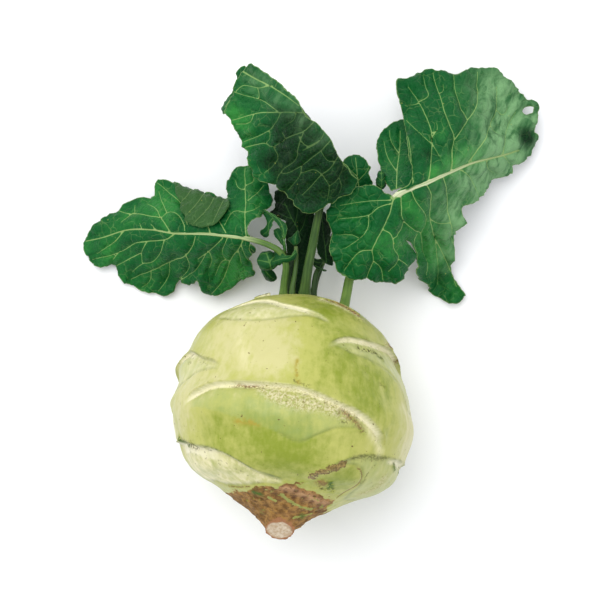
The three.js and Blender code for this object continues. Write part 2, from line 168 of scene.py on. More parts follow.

# Blades. Each has its outline, [x, y, z] points that its surface runs through, and its veins as a width and
# a line. The tone spots hold lighter and yellower (positive) or darker spots, in part painted light and
# shade, and the bloom spots waxy bloom with painted sheen, both as [x, y, radius, amount].
BLADE_PITCH = 0.66
BLADE_THICKNESS = 0.55
VEIN_STEP = 0.8
FLOOR_CLEARANCE = 0.8
HEIGHT_SOFTNESS = 8
SPROUT_THICKNESS = 0.45
SMALL_SHEET = {"pitch": 0.42, "teeth": 0.8, "pucker": 0.6, "folds": 0.5, "wave": 1.1, "cup": 0.8}

LEFT_BLADE = {
    "outline": [
        [-18, 72.5], [-18.5, 71], [-17, 69.5], [-18.5, 66], [-15.5, 61.5], [-22.5, 57.5], [-29, 53],
        [-35.5, 51], [-38.5, 52.5], [-41, 59], [-44.5, 56], [-49.5, 57], [-53, 52.5], [-60.5, 52],
        [-67.5, 53], [-71.5, 56.5], [-77, 61], [-79, 63.5], [-88, 65], [-90, 69], [-91.5, 74], [-85.5, 81],
        [-79, 85.5], [-72, 90.5], [-66.5, 93], [-60, 94], [-59, 99.5], [-56, 100.5], [-50.5, 98.5],
        [-42.5, 95.5], [-35, 93], [-27.5, 91], [-27.5, 95.5], [-26.5, 101.5], [-23, 105.5], [-18, 106],
        [-16, 102], [-14.5, 99], [-11, 98.5], [-10.5, 94.5], [-8.5, 90.5], [-9.5, 87.5], [-12.4, 86],
        [-13, 83], [-17, 81.5], [-19, 78], [-18, 75.5],
    ],
    "heights": [
        [-18, 75, 38], [-33, 76, 35], [-50, 77, 28], [-68, 79, 17], [-82, 77, 9], [-91, 74, 2.5],
        [-86, 81, 6], [-72, 90, 9], [-59, 99, 11], [-42, 95, 20], [-28, 91, 26], [-20, 105, 24],
        [-11, 94, 29], [-19, 90, 33], [-88, 65, 2.5], [-71, 57, 1.4], [-59, 52, 0.8], [-48, 57, 8],
        [-35, 51, 6], [-23, 58, 14], [-16, 62, 22], [-57, 65, 14], [-38, 65, 21],
    ],
    "veins": [
        (2.0, [(-18, 74.5), (-27.5, 75.5), (-36.5, 76.5), (-50.5, 77), (-59, 78.5), (-67.5, 79), (-73, 78.5),
               (-82, 76), (-90.5, 74.5)]),
        (1.1, [(-19.5, 75.5), (-20, 82), (-20, 90.5), (-20, 98), (-20.5, 105)]),
        (0.5, [(-20, 95), (-23, 96), (-25, 100)]),
        (0.5, [(-19, 90.5), (-16, 92.5), (-12.5, 97)]),
        (0.5, [(-19.5, 85.5), (-16.5, 86), (-14, 88)]),
        (0.5, [(-20.5, 85.5), (-23.5, 86), (-26.5, 83.5), (-28.5, 80)]),
        (0.4, [(-20, 96.5), (-17, 98), (-16, 102)]),
        (0.9, [(-28, 77), (-30.5, 81), (-33.5, 86.5), (-37.5, 91.5)]),
        (0.7, [(-34.5, 77), (-35.5, 79.5), (-39, 85.5), (-44, 89.5)]),
        (0.7, [(-45.5, 78), (-46, 80.5), (-48.5, 84.5), (-51.5, 86), (-53.5, 86), (-56.5, 83.5)]),
        (0.6, [(-54, 86), (-56, 90), (-58, 95.5)]),
        (0.8, [(-52, 78), (-56.5, 83.5), (-61, 84.5), (-66.5, 85.5), (-72, 86), (-76, 87.5)]),
        (0.5, [(-56.5, 83.5), (-58.5, 87.5), (-63.5, 90.5)]),
        (0.4, [(-68, 86), (-68.5, 89.5)]),
        (0.5, [(-69, 86), (-74, 82)]),
        (0.7, [(-44.5, 80.5), (-47.5, 89.5), (-53.5, 95), (-58.5, 99)]),
        (0.5, [(-64.5, 79), (-65.5, 81.5)]),
        (0.4, [(-58, 78.5), (-60.5, 81)]),
        (0.9, [(-21, 73.5), (-23, 70), (-26.5, 65.5), (-28.5, 61), (-31, 57), (-36, 51.5)]),
        (0.5, [(-23, 69.5), (-22, 64.5)]),
        (0.5, [(-27, 65), (-30.5, 64.5), (-33.5, 59.5)]),
        (0.4, [(-21.5, 72), (-20.5, 68.5), (-18.5, 65)]),
        (0.8, [(-29.5, 74.5), (-35.5, 69.5), (-40.5, 66.5)]),
        (0.5, [(-36, 69.5), (-41.5, 62.5), (-49, 57.5)]),
        (0.5, [(-35.5, 69.5), (-34.5, 66), (-36, 62.5)]),
        (0.5, [(-27.5, 74.5), (-30, 68.5), (-29, 65.5)]),
        (0.9, [(-41, 75.5), (-42.5, 71.5), (-45.5, 68.5), (-53.5, 64.5), (-61, 62), (-71, 58)]),
        (0.6, [(-53.5, 64), (-54.5, 58.5), (-59, 53)]),
        (0.5, [(-61.5, 62), (-62.5, 57.5), (-66.5, 54.5)]),
        (0.9, [(-50, 76.5), (-54, 74.5), (-62.5, 74), (-67, 73.5), (-75, 69.5), (-88, 66.5)]),
        (0.6, [(-62.5, 73.5), (-65, 69.5), (-65, 65)]),
        (0.6, [(-54.5, 74.5), (-56.5, 69.5), (-60, 66), (-65, 65), (-70.5, 61)]),
        (0.6, [(-65, 69.5), (-71, 66.5), (-77.5, 63)]),
        (0.7, [(-73, 78), (-76.5, 74.5), (-85.5, 69)]),
        (0.4, [(-45.5, 69), (-44.5, 63), (-49.5, 58)]),
        (0.4, [(-78.5, 66.5), (-75.5, 69.5)]),
    ],
    "tone_and_shading": [
        [-58, 90, 10, 0.5], [-50, 92, 8, 0.35], [-88, 74, 8, 0.35], [-74, 84, 10, 0.25],
        [-64, 57, 14, 0.35], [-30, 58, 12, 0.1], [-38, 84, 9, 0.1], [-15, 92, 7, 0.35], [-29, 62, 8, 0.5],
        [-22, 84, 6, 0.4], [-20, 102, 6, 0.3], [-78, 66, 8, 0.3], [-22, 62, 6, 0.4], [-48, 66, 10, 0.1],
    ],
}
LEFT_FLAP = {
    "hem": [[-51, 98.2], [-42.5, 95.5], [-35, 93], [-27.3, 90.7]],
    "outline": [
        [-51, 98.4], [-42.5, 95.7], [-35, 93.2], [-27.3, 91], [-26.6, 88], [-27.5, 85], [-30, 82],
        [-34.5, 79.5], [-38, 79], [-41, 79.8], [-45, 81.5], [-45.6, 84], [-47.5, 87], [-47.2, 90],
        [-49.5, 93], [-50.8, 96],
    ],
    "veins": [
        (0.5, [(-29, 91), (-31, 86), (-33.5, 80)]),
        (0.5, [(-33, 92.5), (-35.5, 87), (-41.5, 80.5)]),
        (0.5, [(-37.5, 94), (-40.5, 89), (-46, 83)]),
        (0.4, [(-43, 95.5), (-45, 92.5), (-47.5, 90)]),
    ],
    # How far from the hem the fold's round runs, and how high the flap stands off the blade
    "bend": 2.2,
    "lift": 3.4,
}
CENTRE_BLADE = {
    "outline": [
        [-20.5, 142.5], [-17, 145], [-14, 143.5], [-7.5, 138], [-3, 134], [1.5, 129], [5.5, 122.5],
        [11.5, 117], [16, 111], [19.5, 104.5], [23, 100.5], [26.5, 97], [24.5, 93.5], [18.5, 90.5],
        [14, 87.5], [11, 86], [5.5, 86], [1, 89.5], [-3.5, 94], [-5.5, 96], [-10, 97.5], [-14.5, 99],
        [-16.5, 105.5], [-19, 110], [-21, 112.5], [-22, 117], [-25, 121.5], [-27, 126.5], [-25.5, 130],
        [-24, 135], [-21.5, 140.5],
    ],
    "heights": [
        [-19, 144, 50], [-8, 138, 60], [6, 123, 70], [16, 111, 69], [23, 101, 63], [26, 97, 59],
        [-27, 127, 46], [-22, 117, 46], [-16, 106, 46], [-10, 97, 48], [1, 89, 51], [11, 86, 54],
        [18, 91, 57], [-7, 121, 62], [3, 105, 63], [13, 97, 62], [-23, 135, 47],
    ],
    "veins": [
        (1.5, [(-20.5, 142.5), (-14.5, 138.5), (-7.5, 134), (-1, 129), (6, 123)]),
        (1.0, [(5.5, 123), (0.5, 123.5), (-5.5, 124), (-14.5, 124.5), (-25.5, 122.5)]),
        (0.6, [(-6, 124.5), (-9.5, 127.5), (-14.5, 130.5), (-23.5, 134)]),
        (0.6, [(-5, 123.5), (-6.5, 120.5), (-9.5, 117.5), (-21, 113.5)]),
        (0.5, [(-15.5, 124.5), (-17, 121.5), (-23.5, 121)]),
        (1.0, [(9, 120), (7, 118), (4.5, 116), (-1.5, 114), (-8, 111), (-11, 112.5), (-20.5, 111.5)]),
        (0.7, [(4.5, 115.5), (3, 110.5), (1.5, 105.5), (-5, 100.5), (-6, 95.5)]),
        (0.5, [(-9.5, 117.5), (-9.5, 114), (-11, 112.5)]),
        (0.5, [(-7.5, 111), (-6, 108), (-7, 104.5), (-11, 101)]),
        (0.8, [(13, 116.5), (11, 112.5), (8.5, 110.5), (4.5, 109)]),
        (0.9, [(15.5, 112.5), (11.5, 108.5), (7.5, 105.5), (4, 103), (-1.5, 100.5), (-5, 100.5)]),
        (0.5, [(4, 103), (3, 99), (-1.5, 94)]),
        (1.0, [(18.5, 107), (15.5, 102.5), (11.5, 99), (7.5, 95), (4.5, 92)]),
        (0.6, [(11.5, 99.5), (7.5, 101), (3.5, 100)]),
        (0.6, [(12, 99), (14.5, 95.5), (14, 89.5)]),
        (0.7, [(20, 104.5), (20, 101.5), (18.5, 98), (15, 95.5)]),
        (0.5, [(18.5, 98), (19.5, 94.5), (18.5, 92)]),
        (0.4, [(-22.5, 134.5), (-20.5, 136.5), (-13.5, 135), (-8, 135)]),
        (0.4, [(-14.5, 135), (-14.5, 130.5)]),
        (0.4, [(1.5, 123.5), (0.5, 120.5), (-2.5, 119)]),
        (0.4, [(-4, 116), (-2.5, 113.5), (-5, 112)]),
        (0.4, [(3, 114), (6, 110.5), (11, 112.5)]),
        (0.4, [(11.5, 108), (14, 104.5), (17, 104.5)]),
    ],
    "tone_and_shading": [
        [-18, 124, 10, 0.35], [10, 97, 15, -0.75], [-2, 106, 10, -0.5], [6, 112, 10, -0.5],
        [-24, 124, 5, 0.5], [-20, 112, 4, 0.5], [-18, 104, 4, 0.5], [-12, 99, 4, 0.4], [-6, 120, 9, -0.25],
        [0, 122, 8, -0.3], [18, 96, 8, -0.3],
    ],
    "bloom_and_sheen": [
        [-14, 138, 6, 0.4], [-4, 131, 6, 0.35], [4, 122, 5, 0.35], [12, 114, 4, 0.25],
    ],
}
# The middle blade is folded along CENTRE_RIDGE. Its lower half is a strip between that ridge and
# CENTRE_BACK_MARGIN, drawn flat with x along the ridge and y away from it.
CENTRE_RIDGE = [[-15, 143, 53], [-7.5, 137, 60.5], [1.5, 127.5, 67], [6, 121, 69.5], [15, 110, 68.5],
                [24, 98, 61]]
CENTRE_BACK_MARGIN = [[-16, 139, 42], [-9, 133, 30], [-2, 125, 20], [4, 115, 15], [12, 104, 14], [20, 96, 26]]
CENTRE_BACK = {
    "length": 60.0,
    "width": 44.0,
    "outline": [
        [0, 0], [10, 0], [20, 0], [30, 0], [40, 0], [50, 0], [60, 0], [60, 12], [58, 26], [52, 38],
        [43, 43], [32, 44], [22, 42], [12, 38], [4, 28], [0, 14],
    ],
    # Where each side vein starts along the ridge, and how far it leans over
    "side_veins": [(8, -4), (18, -3), (28, 2), (38, 6), (48, 9)],
}
RIGHT_BLADE = {
    "outline": [
        [41.5, 90.5], [43, 93.5], [46, 95.5], [49, 99], [47.5, 112.5], [46.5, 122.5], [45.5, 129.5],
        [43.5, 137], [44, 141.5], [48, 143], [52.5, 145.5], [58.5, 147], [62.5, 145.5], [71.5, 144.5],
        [76, 147.5], [84.5, 147.5], [89.5, 144.5], [95, 141], [99.5, 136.5], [104.5, 134.5], [106.5, 132],
        [104.5, 126.5], [103, 122.5], [106, 120], [102, 113.5], [95.5, 107.5], [89.5, 101.5], [83.5, 98.5],
        [78.5, 94], [74.5, 91], [70, 87], [71, 83.5], [68.5, 80], [69, 73.5], [68.5, 63.5], [70.5, 57.5],
        [74.5, 51.5], [72.5, 48], [68, 47.5], [62, 50.5], [55.5, 56.5], [51, 60.5], [50.5, 68.5],
        [48.5, 73], [46, 74], [48.5, 70], [48.5, 63], [44, 58.5], [40, 56.5], [35, 56], [30, 58.5],
        [27, 58], [20, 59.5], [17, 64.5], [15.5, 70.5], [16, 77], [14.5, 82], [15, 86.5], [19, 92.5],
        [26, 94.5], [32.5, 94.5], [39, 92],
    ],
    "heights": [
        [40, 91, 51], [55, 97, 45], [69, 104, 35], [82, 108, 25], [96, 113, 13], [107, 119, 6], [49, 99, 47],
        [46, 122, 35], [44, 137, 25], [58, 147, 20], [76, 148, 16], [89, 144, 12], [105, 135, 7],
        [61, 124, 36], [79, 129, 25], [94, 126, 13], [102, 113, 6], [90, 102, 10], [78, 94, 18],
        [70, 87, 25], [69, 73, 16], [68, 64, 8], [74, 51, 0.8], [68, 47, 0.8], [56, 57, 10], [50, 68, 26],
        [58, 74, 23], [46, 74, 38], [49, 63, 33], [40, 56, 36], [30, 58, 42], [20, 60, 43], [15, 70, 44],
        [14, 82, 46], [19, 92, 49], [33, 95, 51], [32, 75, 50],
    ],
    "veins": [
        (4.4, [(40.5, 90.5), (48.5, 94.5), (55, 97), (62, 100.5), (69.5, 104), (75, 106.5), (81.5, 108.5),
               (90, 111), (97, 113.5)]),
        (0.9, [(49, 94.5), (49, 101.5), (48.5, 108.5), (47.5, 117), (46, 127.5)]),
        (1.1, [(55.5, 97.5), (57, 106), (57.5, 118.5), (55, 128), (53, 132.5), (49, 139.5)]),
        (0.6, [(57, 114), (53.5, 117), (47.5, 123.5)]),
        (0.5, [(53, 132), (48.5, 131.5)]),
        (0.6, [(53, 132.5), (57, 134), (56, 140), (55.5, 145)]),
        (0.4, [(57.5, 118.5), (60, 119.5), (60, 123)]),
        (1.0, [(65.5, 102.5), (66.5, 109), (67.5, 115.5), (64.5, 123), (63, 129), (61.5, 135.5),
               (59.5, 145)]),
        (1.0, [(67.5, 115.5), (73.5, 124.5), (77, 129.5), (78.5, 136), (78.5, 146)]),
        (0.7, [(73.5, 124.5), (70.5, 130.5), (69, 135.5), (68, 144.5)]),
        (0.4, [(61.5, 135), (63.5, 137), (63.5, 140)]),
        (0.9, [(73.5, 107), (77.5, 112), (81.5, 118), (85, 124.5), (87, 130.5), (86.5, 140)]),
        (0.5, [(87, 130.5), (90.5, 128.5), (92, 131.5)]),
        (0.5, [(84.5, 123.5), (88.5, 120.5)]),
        (0.6, [(89, 110.5), (90.5, 116), (92.5, 122), (95.5, 130)]),
        (0.4, [(61, 108.5), (57.5, 115.5), (60, 119.5)]),
        (1.2, [(41, 90), (39.5, 85), (37, 79), (34, 73.5), (32.5, 69.5), (33, 65), (30.5, 58.5)]),
        (0.7, [(39.5, 88), (35, 86.5), (31, 83.5), (18.5, 82)]),
        (0.6, [(31, 83.5), (30.5, 78), (27.5, 74), (21.5, 70)]),
        (0.7, [(37, 77.5), (39.5, 76), (40.5, 71), (43, 65.5), (39.5, 60.5)]),
        (0.7, [(32.5, 69.5), (28, 69), (24.5, 65.5), (21, 60.5)]),
        (0.6, [(33, 65), (36.5, 61.5), (37.5, 56.5)]),
        (0.5, [(39.5, 89.5), (30.5, 89), (19.5, 87.5)]),
        (0.4, [(27.5, 74), (24, 75.5), (17.5, 75.5)]),
        (0.4, [(43.5, 65.5), (47.5, 62.5)]),
        (0.9, [(44, 91.5), (44.5, 87), (45, 82), (50, 78.5), (53, 77.5), (55, 69.5), (56.5, 60)]),
        (0.5, [(45.5, 81.5), (42.5, 76), (40.5, 74.5)]),
        (0.9, [(48.5, 93.5), (50.5, 89), (55, 83), (53.5, 77.5)]),
        (1.1, [(55, 96), (57, 92), (57, 83), (60, 75.5), (65, 68), (71.5, 55)]),
        (0.5, [(60, 76), (62, 66.5), (63.5, 55)]),
        (0.9, [(62, 100), (64.5, 92.5), (65.5, 83), (68.5, 73)]),
        (0.7, [(69.5, 103.5), (74, 101), (77, 94)]),
        (0.5, [(51.5, 77), (50, 74), (51.5, 66)]),
        (0.5, [(81.5, 108), (83, 105), (87, 103)]),
        (0.5, [(90, 110.5), (93.5, 107.5)]),
        (0.4, [(57, 83), (61, 81), (65.5, 82)]),
    ],
    "holes": [[(99, 130.5), (100.5, 132.3), (103.5, 132), (103.8, 130.2), (101.8, 129.3), (100.2, 128.8)]],
    "tone_and_shading": [
        [60, 76, 12, 0.4], [70, 92, 10, 0.3], [30, 70, 14, 0.1], [62, 128, 14, 0.15], [58, 101, 4, 0.9],
        [66, 105, 4, 0.9], [74, 110, 4, 0.7], [52, 134, 9, -0.2], [40, 72, 7, 0.35], [60, 69, 8, 0.5],
        [46, 108, 6, -0.2], [24, 86, 10, 0.1], [72, 54, 8, 0.4], [50, 83, 7, 0.5], [44, 92, 5, 0.4],
        [70, 112, 9, 0.25], [56, 110, 4, -0.4], [68, 120, 4, -0.35], [64, 104, 4, -0.2],
        [88, 118, 4, -0.3], [99, 119, 4, -0.8],
    ],
    "bloom_and_sheen": [
        [92, 130, 13, 1.0], [75, 98, 10, 1.3], [88, 107, 9, 1.2], [98, 116, 9, 1.1], [69, 84, 8, 0.9],
        [66, 70, 8, 0.6], [84, 140, 10, 0.6], [82, 120, 9, 0.5], [60, 90, 6, 0.4], [99, 119, 4.5, -1.6],
        [105, 126, 4, 0.5],
    ],
}
RIGHT_BACK_LOBE = {
    "outline": [
        [47, 93.5], [44, 94], [40.5, 93], [39.5, 95], [37, 102], [35.5, 109.5], [35.5, 115.5], [37.5, 120],
        [41, 123.5], [44, 125], [48, 125], [51.5, 116.5], [52.5, 105], [51.5, 97],
    ],
    "heights": [
        [43, 93, 49.5], [38, 103, 36], [35, 112, 28], [37, 120, 24], [44, 125, 22], [49, 117, 26],
        [49, 103, 40], [43, 107, 34],
    ],
    "veins": [
        (0.9, [(42.5, 94.5), (43.5, 103.5), (45, 112.5), (45.5, 120.5)]),
        (0.5, [(43, 102), (39.5, 109.5), (38.5, 115.5)]),
        (0.5, [(44.5, 110), (41.5, 115.5), (41, 121)]),
    ],
    "tone_and_shading": [
        [40, 108, 9, 0.3],
    ],
}
# Parts of the middle blade's far margin that curl out past its left edge
CENTRE_CURL = {
    "outline": [
        [-19.6, 145], [-21.6, 144.6], [-23.6, 142.4], [-23, 139.3], [-24.2, 136.8], [-26, 133.6],
        [-28.6, 130.8], [-29.8, 128.6], [-29.4, 126.2], [-27.4, 126], [-25.4, 129.4], [-22, 133], [-19, 138],
    ],
    "heights": [[-20, 145, 47], [-24, 141, 43], [-25, 134, 42], [-30, 128, 40], [-26, 128, 45],
                [-19, 138, 47]],
    "veins": [(0.6, [(-20, 143), (-22.2, 138.6), (-24.4, 133.6), (-28, 128.4)])],
}
SMALL_BLADE = {
    "outline": [
        [21.5, 106], [23.5, 109], [27.5, 109.5], [30.5, 107], [32.5, 104.5], [31.5, 101], [33, 96.5],
        [28.5, 93], [24.5, 96.5], [24.5, 100.5], [22, 103],
    ],
    "heights": [[22, 105, 38], [28, 109, 36], [32, 105, 38], [28, 94, 34], [27, 101, 37]],
    "veins": [
        (0.7, [(28, 94), (27, 99), (26.5, 104), (26, 108)]),
        (0.4, [(27, 98.5), (30, 101.5), (31.5, 104.5)]),
        (0.4, [(27, 100), (24, 103)]),
    ],
}
INNER_LEFT_BLADE = {
    "outline": [
        [-10.6, 86.6], [-8.6, 87.8], [-8.6, 90.4], [-6.8, 95.4], [-3.4, 95.4], [-1.4, 92.8], [0.8, 91.2],
        [5, 87.8], [8.8, 87.4], [8.6, 78.4], [8, 70], [7, 62], [5.6, 56], [4.6, 50], [-3, 50], [-4, 56],
        [-3.4, 64], [-2.6, 70], [-2.6, 74.2], [-2.6, 78.4], [-4, 82.8], [-7.8, 84.4],
    ],
    "heights": [[-4, 94, 24], [5, 87, 27], [2, 71, 27], [-9, 87, 21], [1, 80, 28], [8, 81, 23], [-1, 58, 24],
                [-1, 50, 24]],
    "veins": [
        (0.9, [(0, 52), (0.6, 62), (0.8, 70), (2.2, 77), (-0.4, 83), (-3.5, 90)]),
        (0.5, [(2.2, 77), (4.5, 80.5), (6.5, 86)]),
        (0.5, [(0.6, 80.5), (1.6, 85), (1.8, 89)]),
        (0.5, [(-0.4, 83), (-4, 84.5), (-8, 86.8)]),
        (0.4, [(-2.5, 88.5), (-5.5, 90), (-7.5, 90.5)]),
    ],
}
INNER_RIGHT_BLADE = {
    "outline": [
        [11, 86.5], [14.5, 84.5], [16, 77.5], [17, 70], [17, 63.5], [14, 64], [11, 68], [10, 75.5],
        [10, 82.5],
    ],
    "heights": [[11, 87, 27], [16, 78, 24], [17, 65, 25], [11, 69, 28], [13, 76, 28]],
    "veins": [
        (0.7, [(14, 64.5), (13.5, 70), (12.5, 77), (12, 85)]),
        (0.4, [(13.3, 71), (15, 74), (15.5, 78)]),
    ],
}
CURLY_LOBE = {
    "outline": [
        [-13.2, 86], [-10.4, 85.4], [-7, 83.6], [-8, 80.8], [-9.4, 77.8], [-10, 75.8], [-11.2, 75],
        [-13, 75.4], [-13.6, 77], [-12.8, 78.2], [-11.2, 79], [-10.8, 80.8], [-11.6, 82.8],
    ],
    "heights": [[-13, 86, 36], [-8, 83.6, 39], [-9, 79, 39], [-13, 76, 34]],
    "veins": [(0.5, [(-7.6, 83.4), (-9.8, 81), (-10.4, 77.6), (-12.4, 76.2)])],
}
CURLY_RIBBON = {
    "outline": [
        [-12.4, 86], [-9.6, 85.2], [-6.6, 83.6], [-4.8, 81.8], [-3.2, 79.6], [-2.8, 77], [-3, 73.8],
        [-2.8, 69.2], [-4.4, 69.2], [-4.2, 73.8], [-4.6, 76.2], [-5.4, 78.8], [-6.8, 81.4], [-9.2, 83.8],
    ],
    "heights": [[-12, 86, 38], [-6, 83, 41], [-3.6, 77, 42.5], [-3.6, 69, 39]],
    "veins": [(0.8, [(-3.6, 69.4), (-3.6, 73.8), (-3.8, 76.6), (-4.4, 79.4), (-6.2, 82.2), (-9.4, 84.6)])],
}
CURLY_ROUND = {
    "outline": [[-8, 78], [-6.8, 78.6], [-5, 78.2], [-4, 75.4], [-3.8, 71.2], [-5, 72.2], [-6.6, 73.8],
                [-7.6, 75.8]],
    "heights": [[-8, 78, 36], [-5, 77, 39], [-4, 72, 39], [-7, 74, 37]],
    "veins": [(0.4, [(-4.4, 72), (-5.6, 75), (-7, 77.6)])],
}
HEART_BLADE = {
    "outline": [[-2.6, 74.2], [-0.4, 75], [1.2, 76.8], [2, 77.8], [2.8, 75.4], [3.4, 73.8], [2.4, 72.4],
                [1, 71.6], [-0.8, 72.6]],
    "heights": [[-2.6, 74, 35], [2, 78, 36], [3.4, 74, 36], [1, 71.6, 38], [0.4, 74, 39]],
    "veins": [(0.4, [(1, 71.8), (0.8, 73.6), (1.6, 77)])],
}
HEART_COLLAR = {
    "outline": [[-7.2, 69.2], [-5, 68.4], [-2.6, 67.4], [-0.4, 67.4], [0.8, 69.6], [1.6, 67.2], [0, 65],
                [-2.2, 63.8], [-4.6, 63.6], [-7.2, 63], [-9.6, 61.8], [-10.2, 63], [-8.4, 65], [-7.6, 67.2]],
    "heights": [[-7, 69, 40], [-3, 67, 43.8], [1, 69, 43], [0, 65, 42], [-5, 63.6, 42], [-10, 62, 38]],
    "veins": [(0.5, [(1, 68.4), (-1.6, 66.2), (-4.6, 65.8), (-8.4, 64.6)])],
}
HANGING_LEAF = {
    "outline": [[-13.8, 63.6], [-12.2, 63.2], [-10.6, 61.4], [-8.4, 61], [-7.2, 59.4], [-7, 57.2],
                [-9, 56.4], [-11, 56.2], [-12.6, 57.6], [-13.6, 60.2]],
    "heights": [[-13.8, 63.6, 33], [-8, 61, 31], [-7, 57, 27], [-12, 57, 28], [-10.6, 60, 33]],
    "veins": [(0.7, [(-13, 63), (-11.4, 60.8), (-9.8, 58.8), (-8, 57.6)])],
}
LEFT_EAR = {
    "outline": [[-18.4, 72], [-16.8, 71.8], [-15.6, 70.4], [-15.8, 68.8], [-17.2, 68], [-18.6, 68.6]],
    "heights": [[-18.4, 71, 36], [-16, 70, 34], [-17.4, 68, 31]],
    "veins": [(0.4, [(-18.2, 70.8), (-17, 69.8), (-16.4, 69)])],
}
RIGHT_BIT = {
    "outline": [[8.4, 66.4], [10.4, 65.8], [12.4, 65.4], [11.6, 63.8], [10.8, 62.6], [9, 63.4]],
    "heights": [[8.4, 66, 34], [12.4, 65, 32], [10.8, 62.6, 31]],
    "veins": [(0.4, [(8.8, 65), (10.4, 64.6), (12, 64.8)])],
}
RIGHT_SPIKE = {
    "outline": [[8.6, 64.4], [10.4, 63], [12.4, 61.9], [14.2, 61], [11.6, 61.2], [9, 62.2]],
    "heights": [[8.6, 64, 32], [12, 62, 31], [14.2, 61, 28]],
    "veins": [(0.3, [(9, 63.4), (11, 62.2), (13.6, 61.2)])],
}

# Stalks: the CAD centre line, and the radii at the crown and at the blade. `rib` is the blade that the stalk
# runs on in as a midrib, and `end` is the midrib's last radius. `dark` is how much painted shade darkens
# the stalk, and `cream` how pale the midrib starts.
STALKS = {
    "left_petiole": {
        "line": [[-4.4, 45, 36], [-3.7, 56, 39], [-3, 63.5, 41.2], [-5.2, 68.5, 42], [-10, 71.5, 41.3],
                 [-17.2, 74, 38.8]],
        "r": [1.5, 1.15], "rib": "left_blade", "end": 0.2, "dark": 0.3, "cream": 0.35,
    },
    "centre_petiole": {
        "line": [[4.4, 46, 38], [5.6, 58, 42], [8.2, 72, 44.5], [11, 86, 47.5], [14.5, 97, 52]],
        "r": [2.1, 1.35], "dark": 0.75,
    },
    "right_petiole": {
        "line": [[20.5, 42, 31], [22.2, 50, 32.5], [23.8, 58, 34], [27.5, 67, 36.5], [33, 79, 40.5],
                 [39, 88.2, 46.2]],
        "r": [2.0, 1.8], "rib": "right_blade", "end": 0.3, "dark": 0.0, "cream": 1.0,
    },
    "small_petiole": {
        "line": [[8, 45, 25], [9.4, 56, 22], [13, 66, 18], [19.5, 81, 24.5], [26, 92.4, 33]],
        "r": [1.4, 1.0], "dark": 0.9,
    },
    "inner_left_petiole": {
        "line": [[-3, 46, 29], [-2.4, 56, 28], [-1.2, 63, 27], [0.6, 69.4, 26.6]], "r": [1.5, 1.1],
        "dark": 1.0,
    },
    "inner_right_petiole": {
        "line": [[8.6, 45, 31.5], [8.8, 54, 31.5], [9.8, 60, 30.5], [12.6, 64.4, 28.4]], "r": [1.3, 1.0],
        "dark": 0.9,
    },
    "curly_petiole": {
        "line": [[-1.6, 46, 33.5], [-1.6, 56, 33.5], [-2.6, 63, 34.5], [-3.6, 69.4, 37]], "r": [1.2, 0.8],
        "dark": 0.9,
    },
    "heart_petiole": {
        "line": [[-0.6, 46, 37.5], [-0.2, 54, 38.5], [0.8, 60, 38.5], [1.4, 66, 38], [1.2, 71, 37]],
        "r": [1.1, 0.8], "dark": 0.6,
    },
}


# ---------------------------------------------------------------- curves, distances and noise


def between(a, b, from_, to, t):
    return ((to - t) * a + (t - from_) * b) / (to - from_)


def smooth(points, step, closed=False):
    """Points every `step` mm along a centripetal Catmull-Rom curve through the points given."""
    p = np.array(points, float)
    if closed:
        p = np.vstack([p[-1], p, p[0], p[1]])
    else:
        p = np.vstack([2 * p[0] - p[1], p, 2 * p[-1] - p[-2]])
    pieces = []
    for a, b, c, d in zip(p, p[1:], p[2:], p[3:]):
        k = np.cumsum([0] + [max(np.linalg.norm(v) ** 0.5, 1e-6) for v in (b - a, c - b, d - c)])
        t = np.linspace(k[1], k[2], 10, endpoint=False)[:, None]
        ab = between(a, b, k[0], k[1], t)
        bc = between(b, c, k[1], k[2], t)
        cd = between(c, d, k[2], k[3], t)
        abc = between(ab, bc, k[0], k[2], t)
        bcd = between(bc, cd, k[1], k[3], t)
        pieces.append(between(abc, bcd, k[1], k[2], t))
    curve = np.vstack(pieces + [p[1:2] if closed else p[-2:-1]])
    along = np.append(0, np.cumsum(np.linalg.norm(np.diff(curve, axis=0), axis=1)))
    wanted = np.linspace(0, along[-1], max(2, round(along[-1] / step) + 1))
    even = np.column_stack([np.interp(wanted, along, curve[:, k]) for k in range(curve.shape[1])])
    return even[:-1] if closed else even


def fractal(points, size, octaves=3, seed=0.0):
    """Soft noise from about -1 to 1 at each point, with lumps of about `size` mm."""
    p = np.zeros((len(points), 3))
    p[:, : points.shape[1]] = points
    p = p / size + seed * 7.31
    return np.array([noise.fractal(v, 1.0, 2.0, octaves) for v in p.tolist()]) * 1.4


def ramp(value, low, high):
    """0 below low, 1 above high, and smooth between; low may be above high."""
    t = np.clip((value - low) / (high - low), 0, 1)
    return t * t * (3 - 2 * t)


def nearest(points, lines):
    """For each point: the distance to the nearest line, and the least distance as a share of the line's half
    width there. A line is (points, half width at each point)."""
    a = np.vstack([p[:-1] for p, _ in lines])
    b = np.vstack([p[1:] for p, _ in lines])
    wa = np.concatenate([w[:-1] for _, w in lines])
    wb = np.concatenate([w[1:] for _, w in lines])
    ab = b - a
    length = np.maximum((ab ** 2).sum(1), 1e-9)
    gaps, shares = [], []
    for part in np.array_split(points, max(1, len(points) // 3000)):
        t = np.clip(((part[:, None] - a) * ab).sum(2) / length, 0, 1)
        gap = np.linalg.norm(part[:, None] - a - t[..., None] * ab, axis=2)
        gaps.append(gap.min(1))
        shares.append((gap / (wa + t * (wb - wa))).min(1))
    return np.concatenate(gaps), np.concatenate(shares)


